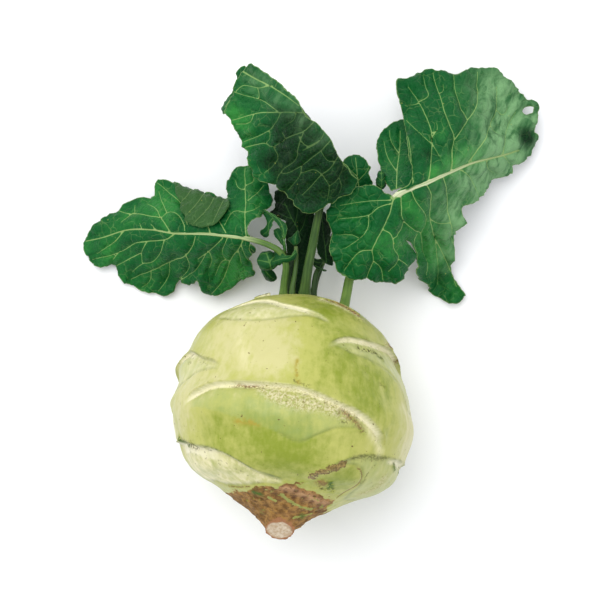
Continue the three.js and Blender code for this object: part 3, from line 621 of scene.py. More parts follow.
def inside(points, ring):
    """Which points lie inside a closed ring."""
    a, b = ring, np.roll(ring, -1, axis=0)
    result = []
    for part in np.array_split(points, max(1, len(points) // 4000)):
        x, y = part[:, :1], part[:, 1:]
        crosses = (a[:, 1] > y) != (b[:, 1] > y)
        rise = np.where(b[:, 1] == a[:, 1], 1e-9, b[:, 1] - a[:, 1])
        at = a[:, 0] + (y - a[:, 1]) / rise * (b[:, 0] - a[:, 0])
        result.append((crosses & (x < at)).sum(1) % 2 == 1)
    return np.concatenate(result)


def patches(points, spots):
    """Soft round spots [x, y, radius, amount] added up at each point."""
    total = np.zeros(len(points))
    for x, y, radius, amount in spots:
        gap = ((points[:, 0] - x) ** 2 + (points[:, 1] - y) ** 2) / radius ** 2
        total += amount * np.exp(-gap)
    return total


# ---------------------------------------------------------------- meshes


def vertex_normals(points, triangles):
    a, b, c = (points[triangles[:, k]] for k in range(3))
    face = np.cross(b - a, c - a)
    normals = np.zeros_like(points)
    for k in range(3):
        np.add.at(normals, triangles[:, k], face)
    return normals / np.maximum(np.linalg.norm(normals, axis=1), 1e-9)[:, None]


def make_object(name, points, faces, attributes, material):
    """A smooth mesh object from points in millimetres, with one number per point for each attribute."""
    mesh = bpy.data.meshes.new(name)
    mesh.from_pydata((points * MM).tolist(), [], faces)
    for key, values in attributes.items():
        values = np.asarray(values, np.float32)
        kind, field = ("FLOAT_VECTOR", "vector") if values.ndim == 2 else ("FLOAT", "value")
        mesh.attributes.new(key, kind, "POINT").data.foreach_set(field, values.ravel())
    mesh.polygons.foreach_set("use_smooth", [True] * len(mesh.polygons))
    mesh.materials.append(material)
    mesh.validate()
    obj = bpy.data.objects.new(name, mesh)
    bpy.context.scene.collection.objects.link(obj)
    return obj


def fill(ring, lines, holes, pitch):
    """Flat triangles that fill a ring, with edges along the lines."""
    rings = [ring] + holes
    edge_lines = [(np.vstack([r, r[:1]]), np.ones(len(r) + 1)) for r in rings]
    low, high = ring.min(0), ring.max(0)
    rows = np.arange(low[1], high[1], pitch * 0.866)
    grid = np.vstack([
        np.column_stack([x, np.full(len(x), y)])
        for i, y in enumerate(rows)
        for x in [np.arange(low[0] + (i % 2) * pitch / 2, high[0], pitch)]
    ])
    grid = grid[inside(grid, ring)]
    grid = grid[nearest(grid, edge_lines)[0] > pitch * 0.6]
    points, edges = [], []
    for r in rings:
        start = sum(len(p) for p in points)
        points.append(r)
        edges += [(start + i, start + (i + 1) % len(r)) for i in range(len(r))]
    if lines:
        grid = grid[nearest(grid, lines)[0] > pitch * 0.55]
        for line, _ in lines:
            kept = inside(line, ring) & (nearest(line, edge_lines)[0] > pitch * 0.5)
            start = sum(len(p) for p in points)
            number = np.cumsum(kept) - 1
            points.append(line[kept])
            edges += [
                (start + number[i], start + number[i + 1])
                for i in range(len(line) - 1)
                if kept[i] and kept[i + 1]
            ]
    points = np.vstack(points + [grid])
    edges = [(int(a), int(b)) for a, b in edges]
    made = delaunay_2d_cdt([Vector(p) for p in points.tolist()], edges, [], 0, 1e-4, False)
    flat = np.array([tuple(v) for v in made[0]])
    triangles = np.array(made[2])
    middle = flat[triangles].mean(1)
    keep = inside(middle, ring)
    for hole in holes:
        keep &= ~inside(middle, hole)
    triangles = triangles[keep]
    a, b, c = (flat[triangles[:, k]] for k in range(3))
    area = (b[:, 0] - a[:, 0]) * (c[:, 1] - a[:, 1]) - (b[:, 1] - a[:, 1]) * (c[:, 0] - a[:, 0])
    triangles = triangles[np.abs(area) > 1e-5]
    area = area[np.abs(area) > 1e-5]
    triangles[area < 0] = triangles[area < 0][:, ::-1]
    used = np.unique(triangles)
    renumber = np.zeros(len(flat), int)
    renumber[used] = np.arange(len(used))
    return flat[used], renumber[triangles]


def rim_edges(triangles):
    """The edges that only one triangle has, in its own direction."""
    edges = np.vstack([triangles[:, [0, 1]], triangles[:, [1, 2]], triangles[:, [2, 0]]])
    _, first, count = np.unique(np.sort(edges, axis=1), axis=0, return_index=True, return_counts=True)
    return edges[first[count == 1]]


def height_through(points):
    """The CAD blade's height z(x, y), a sum of one bell per [x, y, z] point."""
    p = np.array(points, float)
    gap = ((p[:, None, :2] - p[None, :, :2]) ** 2).sum(2)
    n = len(p)
    rows = np.ones((n + 1, n + 1))
    rows[:n, :n] = np.sqrt(gap + HEIGHT_SOFTNESS ** 2)
    rows[n, n] = 0
    weight = np.linalg.solve(rows, np.append(p[:, 2], 0))

    def height(xy):
        bell = np.sqrt(((xy[:, None] - p[None, :, :2]) ** 2).sum(2) + HEIGHT_SOFTNESS ** 2)
        return np.maximum(bell @ weight[:n] + weight[n], FLOOR_CLEARANCE)

    return height


def toothed(ring, size, seed):
    """A ring with small irregular teeth and lobes."""
    along = np.roll(ring, -1, axis=0) - np.roll(ring, 1, axis=0)
    out = np.column_stack([along[:, 1], -along[:, 0]]) / np.linalg.norm(along, axis=1)[:, None]
    shift = 0.6 * fractal(ring, 5, 2, seed) + 0.4 * fractal(ring, 1.8, 2, seed + 1)
    return ring + out * (shift * size)[:, None]


def vein_lines(veins):
    """Each vein as close points and half widths that taper towards its end."""
    lines = []
    for width, points in veins:
        line = smooth(points, VEIN_STEP)
        lines.append((line, (0.07 + 0.17 * width) * np.linspace(1, 0.5, len(line))))
    return lines


class Sheet:
    """One thin leaf surface: flat triangles placed in space, with relief and its material's numbers."""

    def __init__(self, outline, veins, place, seed, pitch=BLADE_PITCH, holes=(), teeth=0.7, pucker=1.0,
                 folds=1.1, wave=1.0, cup=0.0, flip=False, bloom_and_sheen=(), tone_and_shading=()):
        ring = toothed(smooth(outline, pitch * 1.2, closed=True), teeth, seed)
        rings = [smooth(h, pitch, closed=True) for h in holes]
        lines = vein_lines(veins)
        flat, self.triangles = fill(ring, lines, rings, pitch)
        edge = [(np.vstack([r, r[:1]]), np.ones(len(r) + 1)) for r in [ring] + rings]
        margin = nearest(flat, edge)[0]
        gap, share = nearest(flat, lines)
        middle = nearest(flat, lines[:1])[0]
        points = place(flat)
        normals = vertex_normals(points, self.triangles)
        near_rim = ring[np.argmin(
            np.linalg.norm(flat[:, None] - ring[None, ::3], axis=2), axis=1) * 3 % len(ring)]
        clear = 1 - np.exp(-(middle / 5) ** 2)
        domed = 0.5 * (1 - np.exp(-(gap / 1.8) ** 1.5)) + 1.5 * (1 - np.exp(-gap / 4.5))
        relief = pucker * domed * (0.8 + 0.5 * fractal(flat, 6, 2, seed))
        relief += folds * clear * fractal(flat, 12, 3, seed + 2)
        relief += wave * clear * np.exp(-margin / 5) * fractal(near_rim, 6, 2, seed + 3)
        relief -= cup * (1 - np.exp(-(middle / 2.5) ** 2))
        points = points + normals * relief[:, None]
        self.points = points
        self.normals = vertex_normals(points, self.triangles)
        self.flip = flip
        self.numbers = {
            "vein": np.minimum(share, 12),
            "vein_gap": np.minimum(gap, 12),
            "margin": np.minimum(margin, 12),
            "bloom_and_sheen": patches(flat, bloom_and_sheen),
            "tone_and_shading": patches(flat, tone_and_shading),
        }


def leaf_object(name, sheets, material, thickness=BLADE_THICKNESS):
    """Sheets as one closed, thin mesh each, with veins standing out underneath."""
    points, faces, numbers = [], [], {"under": []}
    start = 0
    for sheet in sheets:
        n = len(sheet.points)
        half = thickness / 2 * np.clip(0.35 + sheet.numbers["margin"] / 1.5, 0, 1)[:, None]
        rib = 0.45 * np.exp(-sheet.numbers["vein"] ** 2 / 2) * np.clip(sheet.numbers["margin"], 0, 1)
        rib = rib[:, None]
        top = sheet.points + sheet.normals * (half + (rib if sheet.flip else 0))
        bottom = sheet.points - sheet.normals * (half + (0 if sheet.flip else rib))
        floor = thickness * 0.2
        top[:, 2] = np.maximum(top[:, 2], floor + thickness)
        bottom[:, 2] = np.maximum(bottom[:, 2], floor)
        points += [top, bottom]
        faces.append(sheet.triangles + start)
        faces.append(sheet.triangles[:, ::-1] + start + n)
        rim = rim_edges(sheet.triangles)
        a, b = rim[:, 0] + start, rim[:, 1] + start
        faces.append(np.column_stack([b, a, a + n]))
        faces.append(np.column_stack([b, a + n, b + n]))
        numbers["under"] += [np.full(n, float(sheet.flip)), np.full(n, float(not sheet.flip))]
        for key, values in sheet.numbers.items():
            numbers.setdefault(key, []).extend([values, values])
        start += 2 * n
    numbers = {key: np.concatenate(values) for key, values in numbers.items()}
    return make_object(name, np.vstack(points), np.vstack(faces).tolist(), numbers, material)


def on_heights(height):
    return lambda flat: np.column_stack([flat, height(flat)])


def between_rails(rail_a, rail_b, length, width):
    """Places a flat strip, x along the rails and y across, on the ruled surface between two rails."""
    a, b = smooth(rail_a, 0.5), smooth(rail_b, 0.5)

    def along(rail, x):
        at = x / length * (len(rail) - 1)
        return np.column_stack([np.interp(at, np.arange(len(rail)), rail[:, k]) for k in range(3)])

    def place(flat):
        across = (flat[:, 1] / width)[:, None]
        return along(a, flat[:, 0]) * (1 - across) + along(b, flat[:, 0]) * across

    return place


def ring_faces(rings, sides):
    """Four-sided faces between closed rings of points that follow one another."""
    return [
        (i * sides + k, i * sides + (k + 1) % sides, (i + 1) * sides + (k + 1) % sides, (i + 1) * sides + k)
        for i in range(rings - 1)
        for k in range(sides)
    ]


def tube(line, radii, sides, flat=1.0, groove=0.0, ribs=0.0):
    """Points and faces of a closed round stalk; a groove runs along its upper side."""
    tangent = np.gradient(line, axis=0)
    tangent /= np.linalg.norm(tangent, axis=1)[:, None]
    side = np.cross(tangent, [0.0, 0.0, 1.0])
    side /= np.linalg.norm(side, axis=1)[:, None]
    over = np.cross(side, tangent)
    turn = np.linspace(0, 2 * np.pi, sides, endpoint=False)
    shape = 1 + ribs * np.cos(6 * turn)
    shape -= groove * np.exp(-((turn - np.pi / 2) / 0.45) ** 2)
    across = (np.cos(turn) * shape)[None, :, None] * side[:, None]
    upward = (np.sin(turn) * shape * flat)[None, :, None] * over[:, None]
    points = line[:, None] + (across + upward) * np.asarray(radii)[:, None, None]
    n = len(line)
    faces = ring_faces(n, sides)
    faces.append(tuple(range(sides - 1, -1, -1)))
    faces.append(tuple((n - 1) * sides + k for k in range(sides)))
    return points.reshape(-1, 3), faces


# ---------------------------------------------------------------- the bulb


BULB_TURN = np.array(Matrix.Rotation(-BULB_LEAN, 3, "Z") @ Matrix.Rotation(-BULB_TILT, 3, "X"))


def on_bulb(height, angle, radius):
    """Row-frame points from height along the bulb's axis, angle round it in radians, and radius."""
    local = np.stack([radius * np.sin(angle), height, radius * np.cos(angle)], axis=-1)
    return local @ BULB_TURN.T + [0, 0, BULB_CENTRE_HEIGHT]


def wrapped(angle, middle):
    return middle + (angle - middle + 180) % 360 - 180


def swelling(height, angle):
    total = 0.0
    for at, turn, up, round_, rise in BULB_SWELLINGS:
        total += rise * np.exp(-((height / BULB_RADIUS - at) / up) ** 2
                               - ((wrapped(angle, turn) - turn) / round_) ** 2)
    return total


PROFILE_LINE = smooth(np.array(BULB_PROFILE) * BULB_RADIUS, 0.4)[::-1]


def bulb_radius(height, angle):
    girth = np.interp(height, PROFILE_LINE[:, 0], PROFILE_LINE[:, 1])
    return girth + swelling(height, angle)


def mark_gap(points, line):
    """Distance in mm from each bulb point to a line of [height, angle in degrees] on the bulb."""
    line = smooth(line, 1.0)
    on = on_bulb(line[:, 0], np.radians(line[:, 1]), bulb_radius(line[:, 0], line[:, 1]))
    return nearest(points, [(on, np.ones(len(on)))])[0]


# Marks on the skin: what, [height, angle] points, half width in mm, and strength
MARKS = [
    ("rough", [[2.2, -16], [0.6, -10], [-0.6, -3], [-1, 4], [-1.6, 10], [-2.6, 17], [-3.6, 24]], 2.5, 1.0),
    ("rough", [[-0.8, -12], [-2.6, -5], [-3.6, 2], [-3.2, 8]], 1.8, 0.9),
    ("rough", [[3.2, -14], [3, -4], [1.8, 6], [0.2, 14], [-1.8, 22], [-3.2, 29]], 1.3, 0.75),
    ("pale", [[-4.6, 33], [-7.4, 38.5], [-10.6, 44], [-14, 49.5]], 2.1, 0.8),
    ("pale", [[9, 72], [0, 78], [-10, 80]], 1.1, 0.55),
    ("pale", [[6, 64], [-4, 68], [-12, 70]], 0.8, 0.4),
    ("pale", [[30, -34], [20, -32], [12, -26]], 3.0, 0.3),
    ("brown", [[3.0, -30], [2.7, -25], [2.7, -19]], 0.8, 1.0),
    ("brown", [[-2.8, 22], [-4.4, 27], [-6.4, 31], [-8.2, 34]], 1.3, 0.8),
    ("dark", [[-6.6, 22], [-6.4, 26]], 0.6, 0.8),
    ("scab", [[-27.2, 16.5], [-26, 19], [-24.6, 23], [-23, 27], [-21.8, 30]], 1.8, 1.0),
    ("brown", [[-28.6, 24], [-29, 27]], 1.5, 1.0),
    ("dark", [[-29.8, 26], [-30.6, 32], [-29.8, 38], [-30.4, 42]], 0.7, 1.0),
    ("moss", [[-28.4, 31], [-29.8, 36]], 1.5, 1.0),
    ("knob", [[-28.8, 25], [-29, 28]], 1.9, 1.0),
    ("rough", [[-22, 66], [-25, 70], [-29, 71]], 2.2, 0.6),
    ("dark", [[-19, 52], [-23, 50], [-26, 53]], 0.5, 0.6),
    ("yellow", [[-11.2, -27], [-11, -22], [-11.8, -17]], 1.3, 1.0),
    ("yellow", [[14.8, -1.6], [11, -1.4], [7.6, -0.6], [5.4, 0.4]], 0.8, 1.0),
    ("dark", [[6.4, -2], [5.2, 1.4], [4.6, 5]], 0.7, 0.7),
    ("dark", [[25.2, 33], [25.4, 40], [25.6, 46], [24.6, 52]], 1.0, 1.0),
    ("dark", [[23.2, 24], [22.8, 28]], 0.6, 0.6),
    ("moss", [[24.4, 47], [23.4, 52]], 1.1, 0.6),
    ("brown", [[32, 68], [33, 74], [31, 79], [28, 81]], 1.3, 1.0),
    ("rough", [[31, 60], [32.6, 70], [29, 80]], 1.6, 0.8),
    ("dark", [[12, 44], [11.4, 47]], 0.7, 0.5),
    ("dark", [[18.4, -76], [18.2, -71]], 0.7, 1.0),
    ("dark", [[14.6, -70], [14.4, -68]], 0.5, 0.8),
    ("dark", [[-15.6, -74], [-17.6, -70], [-19.2, -64], [-19, -59]], 1.3, 1.0),
    ("dark", [[-20.4, -52], [-20.8, -49]], 0.5, 0.9),
    ("brown", [[-32.4, -60], [-32.8, -48], [-32.6, -34]], 0.5, 0.9),
    ("dark", [[-18.8, 34], [-16.9, 42], [-16.4, 50], [-15.4, 58]], 0.9, 0.7),
    ("crack", [[-21.6, 40], [-22.4, 44], [-25, 49], [-28, 52], [-32, 55]], 0.4, 1.0),
    ("brown", [[46.2, 20], [45.4, 30], [43.6, 38], [41.4, 44]], 1.0, 1.0),
    ("rough", [[45.6, 14], [44.4, 28], [42.4, 38], [40, 46]], 2.0, 0.9),
    ("ridge", [[47, 16], [46.4, 28], [44.6, 38], [42.4, 45]], 1.5, 1.0),
    ("brown", [[46, 150], [45, 175], [45.5, 200]], 1.2, 0.8),
    ("dark", [[-12, 150], [-14, 165]], 0.8, 0.6),
    ("yellow", [[10, 128], [4, 131], [-4, 130]], 0.9, 0.8),
    ("brown", [[14, 236], [10, 240], [4, 238]], 0.7, 0.8),
    ("moss", [[-16.6, 70], [-17.4, 73]], 1.4, 1.0),
    ("moss", [[-15.4, 90], [-16.8, 94]], 1.9, 1.0),
    ("moss", [[-16, -76], [-18, -72]], 1.6, 0.9),
    ("moss", [[-34.4, -33], [-34.8, -27]], 1.3, 1.0),
    ("moss", [[-39.6, 40], [-41, 52]], 1.0, 0.7),
    ("strip", [[-35.6, -18], [-36.6, -10]], 0.8, 1.0),
    ("strip", [[-34.2, -3], [-35.6, 6], [-36.8, 18], [-37.4, 30], [-37.4, 44]], 0.9, 1.0),
    ("strip", [[-41.4, 30], [-40.4, 42], [-39, 54]], 1.2, 0.7),
    ("flap", [[-32.2, -1], [-32.4, 8], [-33, 18], [-34, 30], [-34.6, 42], [-34.6, 52]], 2.3, 1.0),
    ("pit", [[-33.2, 1], [-33.3, 2]], 0.8, 1.0),
    ("pit", [[-32.6, 10], [-32.7, 11]], 0.9, 1.0),
    ("pit", [[-34.4, 12], [-34.5, 13]], 0.8, 0.9),
    ("pit", [[-34.2, 21], [-34.3, 22]], 0.9, 1.0),
    ("pit", [[-35.2, 33], [-35.3, 34]], 0.8, 0.9),
    ("pit", [[-33.2, 30], [-33.3, 31]], 0.6, 0.8),
    ("pit", [[-35.4, 45], [-35.5, 47]], 0.8, 0.9),
    ("pit", [[-36, -30], [-36.2, -28]], 0.7, 0.8),
]
# How far each kind of mark stands out, in mm
MARK_RELIEF = {"ridge": 1.7, "dark": -0.25, "brown": -0.2, "scab": 0.35, "knob": 1.6, "crack": -0.6,
               "flap": 0.9, "pit": -1.1, "strip": 0.5}

# Greener (positive) and paler (negative) areas of skin as [height, angle, radius in mm, amount]; the paler
# ones are partly painted highlight
SKIN_TONES_AND_HIGHLIGHTS = [
    [18, -40, 24, -0.6], [24, -16, 14, -0.45], [14, -14, 9, -0.5], [20, 26, 16, 0.4], [4, 38, 14, 0.45],
    [-12, -30, 18, 0.4], [-22, 4, 14, 0.5], [-8, -10, 10, 0.25], [40, 10, 9, 0.55], [45, -6, 6, 0.45],
    [44, 40, 9, 0.2],
    [-26, 36, 8, 0.45], [-2, 78, 15, -1.15], [-24, 74, 8, -0.3], [-12, -66, 12, -0.45], [4, -62, 10, -0.3],
    [-4, -26, 7, -0.2], [0, 150, 24, 0.25], [20, 200, 24, -0.2], [-10, 240, 20, 0.2], [24, 120, 16, 0.2],
]


def scar_relief(height, angle, scar):
    """One scar's relief in mm, and where its lens, cream band, lower edge and line of painted shadow are."""
    lip = np.array(smooth(scar["lip"], 1.0))
    lens = np.array(smooth(scar["lens"], 1.0))
    first, last = scar["lip"][0][0], scar["lip"][-1][0]
    a = wrapped(angle, (first + last) / 2)
    top = np.interp(a, lip[:, 0], lip[:, 1])
    low = np.minimum(np.interp(a, lens[:, 0], lens[:, 1]), top - 0.6)
    ends = ramp(a, first, first + 9) * ramp(a, last, last - 9)
    down = np.clip((top - height) / (top - low), 0, 1)
    under = ramp(height, top + 0.3, top - 0.5)
    sunk = under * (1 - down) ** 1.3
    swell = 0.5 * np.exp(-np.maximum(height - top, 0) / 3.5) * (1 - under)
    crease = np.exp(-((height - low) / 0.55) ** 2)
    if "crease" in scar:
        k0, k1 = scar["crease"]
        crease *= ramp(a, k0, k0 + 6) * ramp(a, k1, k1 - 6)
    relief = ends * (scar["step"] * (swell - sunk) - 0.45 * crease)
    inside_lens = ends * under * ramp(height, low - 0.5, low + 0.3)
    c0, c1 = scar["cream"]
    middle = top - scar["cream_width"] * 0.5
    band = np.exp(-(np.maximum(np.abs(height - middle) - scar["cream_width"] * 0.38, 0) / 0.32) ** 2)
    cream = band * ramp(a, c0, c0 + 8) * ramp(a, c1, c1 - 8)
    edge = ends * np.exp(-((height - (top - scar["cream_width"])) / 0.5) ** 2)
    # A thin painted shadow just above each lip's top, and along the crease at the lens's lower end
    line = ends * (scar["line"] * np.exp(-((height - top - 0.25) / 0.32) ** 2) + 0.45 * crease)
    return relief, {"lens": inside_lens, "cream": cream, "edge": edge, "line": line,
                    "pale": inside_lens * scar["pale"]}


def bulb_grid():
    """Heights and angles (degrees) of the bulb's mesh, closer together on the side that faces up."""
    rows = np.linspace(0, len(PROFILE_LINE) - 1, BULB_ROWS)
    height = np.interp(rows, np.arange(len(PROFILE_LINE)), PROFILE_LINE[:, 0])
    turn = np.linspace(-np.pi, np.pi, BULB_COLUMNS, endpoint=False)
    angle = np.degrees(turn - 0.28 * np.sin(turn))
    return np.meshgrid(height, angle, indexing="ij")


BULB_NUMBERS = ("lens", "cream", "edge", "line", "pale", "rough", "brown", "dark", "scab", "knob", "crack",
                "yellow", "moss", "strip", "flap", "pit", "ridge", "green")


def skin_marks(body, height, angle):
    """The skin's numbers from scars, marks, and tones that are partly painted highlight, and the relief in mm
    of its lumps and scars.
    """
    numbers = {key: np.zeros(len(height)) for key in BULB_NUMBERS}
    relief = 0.5 * fractal(body, 22, 2, 5) + 0.14 * fractal(body, 5, 2, 6)
    for scar in SCARS:
        shift, found = scar_relief(height, angle, scar)
        relief += shift
        for key, values in found.items():
            numbers[key] = np.maximum(numbers[key], values)
    for kind, line, width, amount in MARKS:
        gap = mark_gap(body, line)
        numbers[kind] = np.maximum(numbers[kind], amount * np.exp(-(gap / width) ** 2))
    for at, around, size, amount in SKIN_TONES_AND_HIGHLIGHTS:
        middle = on_bulb(np.float64(at), math.radians(around), bulb_radius(np.float64(at), around))
        gap = np.linalg.norm(body - middle, axis=1)
        numbers["green"] += amount * np.exp(-(gap / size) ** 2)
    return numbers, relief


def depth_in_cork(body, height, angle):
    """How far in mm each point lies below the ragged upper edge of the corky root end."""
    edge_line = smooth(CORK_EDGE, 2.0)
    edge = np.interp(angle, edge_line[:, 0], edge_line[:, 1]) + 1.1 * fractal(body, 4, 3, 8)
    return edge - height


def rough_relief(body, height, around, cork_depth, numbers):
    """Relief in mm of the cork's flaky rings, of its raised edge, and of the marks."""
    ripple = fractal(np.column_stack([around * 0.35, height * 1.6 + around * 0.25]), 3, 3, 9)
    relief = ramp(cork_depth, -0.4, 0.5) * (0.5 * ripple + 0.45 * fractal(body, 2.2, 2, 10))
    relief += 0.5 * np.exp(-((cork_depth + 0.4) / 0.7) ** 2)
    relief += numbers["rough"] * (0.4 + 0.6 * fractal(body, 1.8, 2, 11))
    relief += numbers["moss"] * (0.6 + 0.6 * fractal(body, 1.5, 2, 12))
    for kind, rise in MARK_RELIEF.items():
        relief += rise * numbers[kind]
    return relief


def bulb_object(material):
    """The bulb's one skin: its smooth body with relief, cut off at the root, and closed at both ends."""
    height, angle = bulb_grid()
    rows, columns = height.shape
    height, angle = height.ravel(), angle.ravel()
    turn = np.radians(angle)
    radius = bulb_radius(height, angle)
    body = on_bulb(height, turn, radius)

    numbers, relief = skin_marks(body, height, angle)
    cork_depth = depth_in_cork(body, height, angle)
    relief += rough_relief(body, height, radius * turn, cork_depth, numbers)
    above_cut = height - ROOT_CUT_HEIGHT - ROOT_CUT_SLOPE * radius * np.cos(turn)
    relief -= 1.0 * np.exp(-((above_cut - 1.6) / 1.1) ** 2)
    radius = np.maximum(radius + relief * ramp(radius, 0, 8), 0.05)

    side, front = radius * np.sin(turn), radius * np.cos(turn)
    cut_height = ROOT_CUT_HEIGHT + ROOT_CUT_SLOPE * front + 0.2 * fractal(body, 2.5, 2, 13)
    cut = (height < ROOT_CUT_LIMIT) & (cut_height > height)
    height = np.where(cut, cut_height, height)
    points = on_bulb(height, turn, radius)
    points[:, 2] = np.maximum(points[:, 2], 0)

    numbers["cut"] = cut * 1.0
    numbers["cork"] = np.clip(cork_depth, -6, 20)
    numbers["rim"] = np.hypot(side, front - ROOT_CUT_MIDDLE) / ROOT_CUT_RADIUS
    numbers["grain"] = np.column_stack([side, height * 0.12, front]) * MM

    def with_ends(values):
        return np.concatenate([values, [values[:columns].mean(0), values[-columns:].mean(0)]])

    first, last = len(points), len(points) + 1
    top = (rows - 1) * columns
    faces = ring_faces(rows, columns)
    faces += [(first, (k + 1) % columns, k) for k in range(columns)]
    faces += [(last, top + k, top + (k + 1) % columns) for k in range(columns)]
    numbers = {key: with_ends(values) for key, values in numbers.items()}
    return make_object("bulb_skin", with_ends(points), faces, numbers, material)


# ---------------------------------------------------------------- materials


class Shade:
    """A Principled material with short calls for the nodes used here."""

    def __init__(self, name, roughness, coat=0.0, coat_roughness=0.3):
        self.material = bpy.data.materials.new(name)
        self.material.use_nodes = True
        self.tree = self.material.node_tree
        self.shader = self.tree.nodes["Principled BSDF"]
        self.shader.inputs["Roughness"].default_value = roughness
        self.shader.inputs["Coat Weight"].default_value = coat
        self.shader.inputs["Coat Roughness"].default_value = coat_roughness

    def node(self, kind, **settings):
        made = self.tree.nodes.new(kind)
        for key, value in settings.items():
            setattr(made, key, value)
        return made

    def feed(self, socket, value):
        if isinstance(value, bpy.types.NodeSocket):
            self.tree.links.new(value, socket)
        elif isinstance(value, tuple) and len(value) == 3 and socket.type == "RGBA":
            socket.default_value = (*value, 1)
        else:
            socket.default_value = value

    def number(self, name):
        return self.node("ShaderNodeAttribute", attribute_name=name).outputs["Fac"]

    def vector(self, name):
        return self.node("ShaderNodeAttribute", attribute_name=name).outputs["Vector"]

    def place(self):
        return self.node("ShaderNodeTexCoord").outputs["Object"]

    def math(self, operation, a, b, clamp=False):
        made = self.node("ShaderNodeMath", operation=operation, use_clamp=clamp)
        self.feed(made.inputs[0], a)
        self.feed(made.inputs[1], b)
        return made.outputs[0]

    def plus(self, a, b, clamp=False):
        return self.math("ADD", a, b, clamp)

    def times(self, a, b, clamp=False):
        return self.math("MULTIPLY", a, b, clamp)

    def swing(self, value, amount):
        """A value between 0 and 1 as a swing about zero, `amount` from end to end."""
        return self.times(self.math("SUBTRACT", value, 0.5), amount)

    def marked(self, color, name, where, paint):
        """Paint laid over a colour where the mesh's number `name` is, in the patches given by `where`."""
        return self.mix(self.times(self.number(name), where), color, paint)

    def ramp(self, value, low, high, to_low=0.0, to_high=1.0):
        made = self.node("ShaderNodeMapRange", interpolation_type="SMOOTHSTEP")
        for socket, given in zip(made.inputs, (value, low, high, to_low, to_high)):
            self.feed(socket, given)
        return made.outputs[0]

    def noise(self, size, detail=3.0, roughness=0.55, where=None, distortion=0.0):
        """Noise from 0 to 1 with lumps of about `size` mm."""
        made = self.node("ShaderNodeTexNoise")
        self.feed(made.inputs["Vector"], where or self.place())
        self.feed(made.inputs["Scale"], 1 / (size * MM))
        self.feed(made.inputs["Detail"], detail)
        self.feed(made.inputs["Roughness"], roughness)
        self.feed(made.inputs["Distortion"], distortion)
        return made.outputs["Fac"]

    def cells(self, size, feature="DISTANCE_TO_EDGE", where=None):
        made = self.node("ShaderNodeTexVoronoi", feature=feature)
        self.feed(made.inputs["Vector"], where or self.place())
        self.feed(made.inputs["Scale"], 1 / (size * MM))
        return made.outputs["Distance"]

    def warped(self, size, amount):
        """Object coordinates pushed about by noise, so that cells drawn with them have crooked walls."""
        wobble = self.node("ShaderNodeTexNoise")
        self.feed(wobble.inputs["Vector"], self.place())
        self.feed(wobble.inputs["Scale"], 1 / (size * MM))
        scaled = self.node("ShaderNodeVectorMath", operation="SCALE")
        self.feed(scaled.inputs[0], wobble.outputs["Color"])
        self.feed(scaled.inputs["Scale"], amount * MM)
        added = self.node("ShaderNodeVectorMath", operation="ADD")
        self.feed(added.inputs[0], self.place())
        self.feed(added.inputs[1], scaled.outputs[0])
        return added.outputs[0]

    def combed(self, angle, stretch):
        """Object coordinates that draw noise out `stretch` times along one direction in the XY plane."""
        made = self.node("ShaderNodeMapping", vector_type="TEXTURE")
        self.feed(made.inputs["Vector"], self.place())
        made.inputs["Rotation"].default_value = (0, 0, math.radians(angle))
        made.inputs["Scale"].default_value = (stretch, 1, 1)
        return made.outputs[0]

    def mix(self, share, a, b):
        made = self.node("ShaderNodeMix", data_type="RGBA")
        self.feed(made.inputs["Factor"], share)
        self.feed(made.inputs[6], a)
        self.feed(made.inputs[7], b)
        return made.outputs[2]

    def bump(self, height, distance, strength):
        made = self.node("ShaderNodeBump")
        self.feed(made.inputs["Height"], height)
        made.inputs["Distance"].default_value = distance * MM
        made.inputs["Strength"].default_value = strength
        return made.outputs[0]

    def finish(self, color, roughness=None, normal=None):
        self.feed(self.shader.inputs["Base Color"], color)
        if roughness is not None:
            self.feed(self.shader.inputs["Roughness"], roughness)
        if normal is not None:
            self.feed(self.shader.inputs["Normal"], normal)
        return self.material


# Colours of the leaves, and the direction in degrees of the streaks of waxy bloom and painted sheen
BLOOM_AND_SHEEN = (0.165, 0.33, 0.145)
BLOOM_AND_SHEEN_ANGLE = 62
LEAF_YELLOW = (0.105, 0.255, 0.032)
UNDERSIDE = (0.030, 0.092, 0.022)
UNDERSIDE_VEIN = (0.11, 0.19, 0.06)
UNDERSIDE_NET = (0.10, 0.19, 0.06)
LEAF_FLECK = (0.40, 0.42, 0.08)


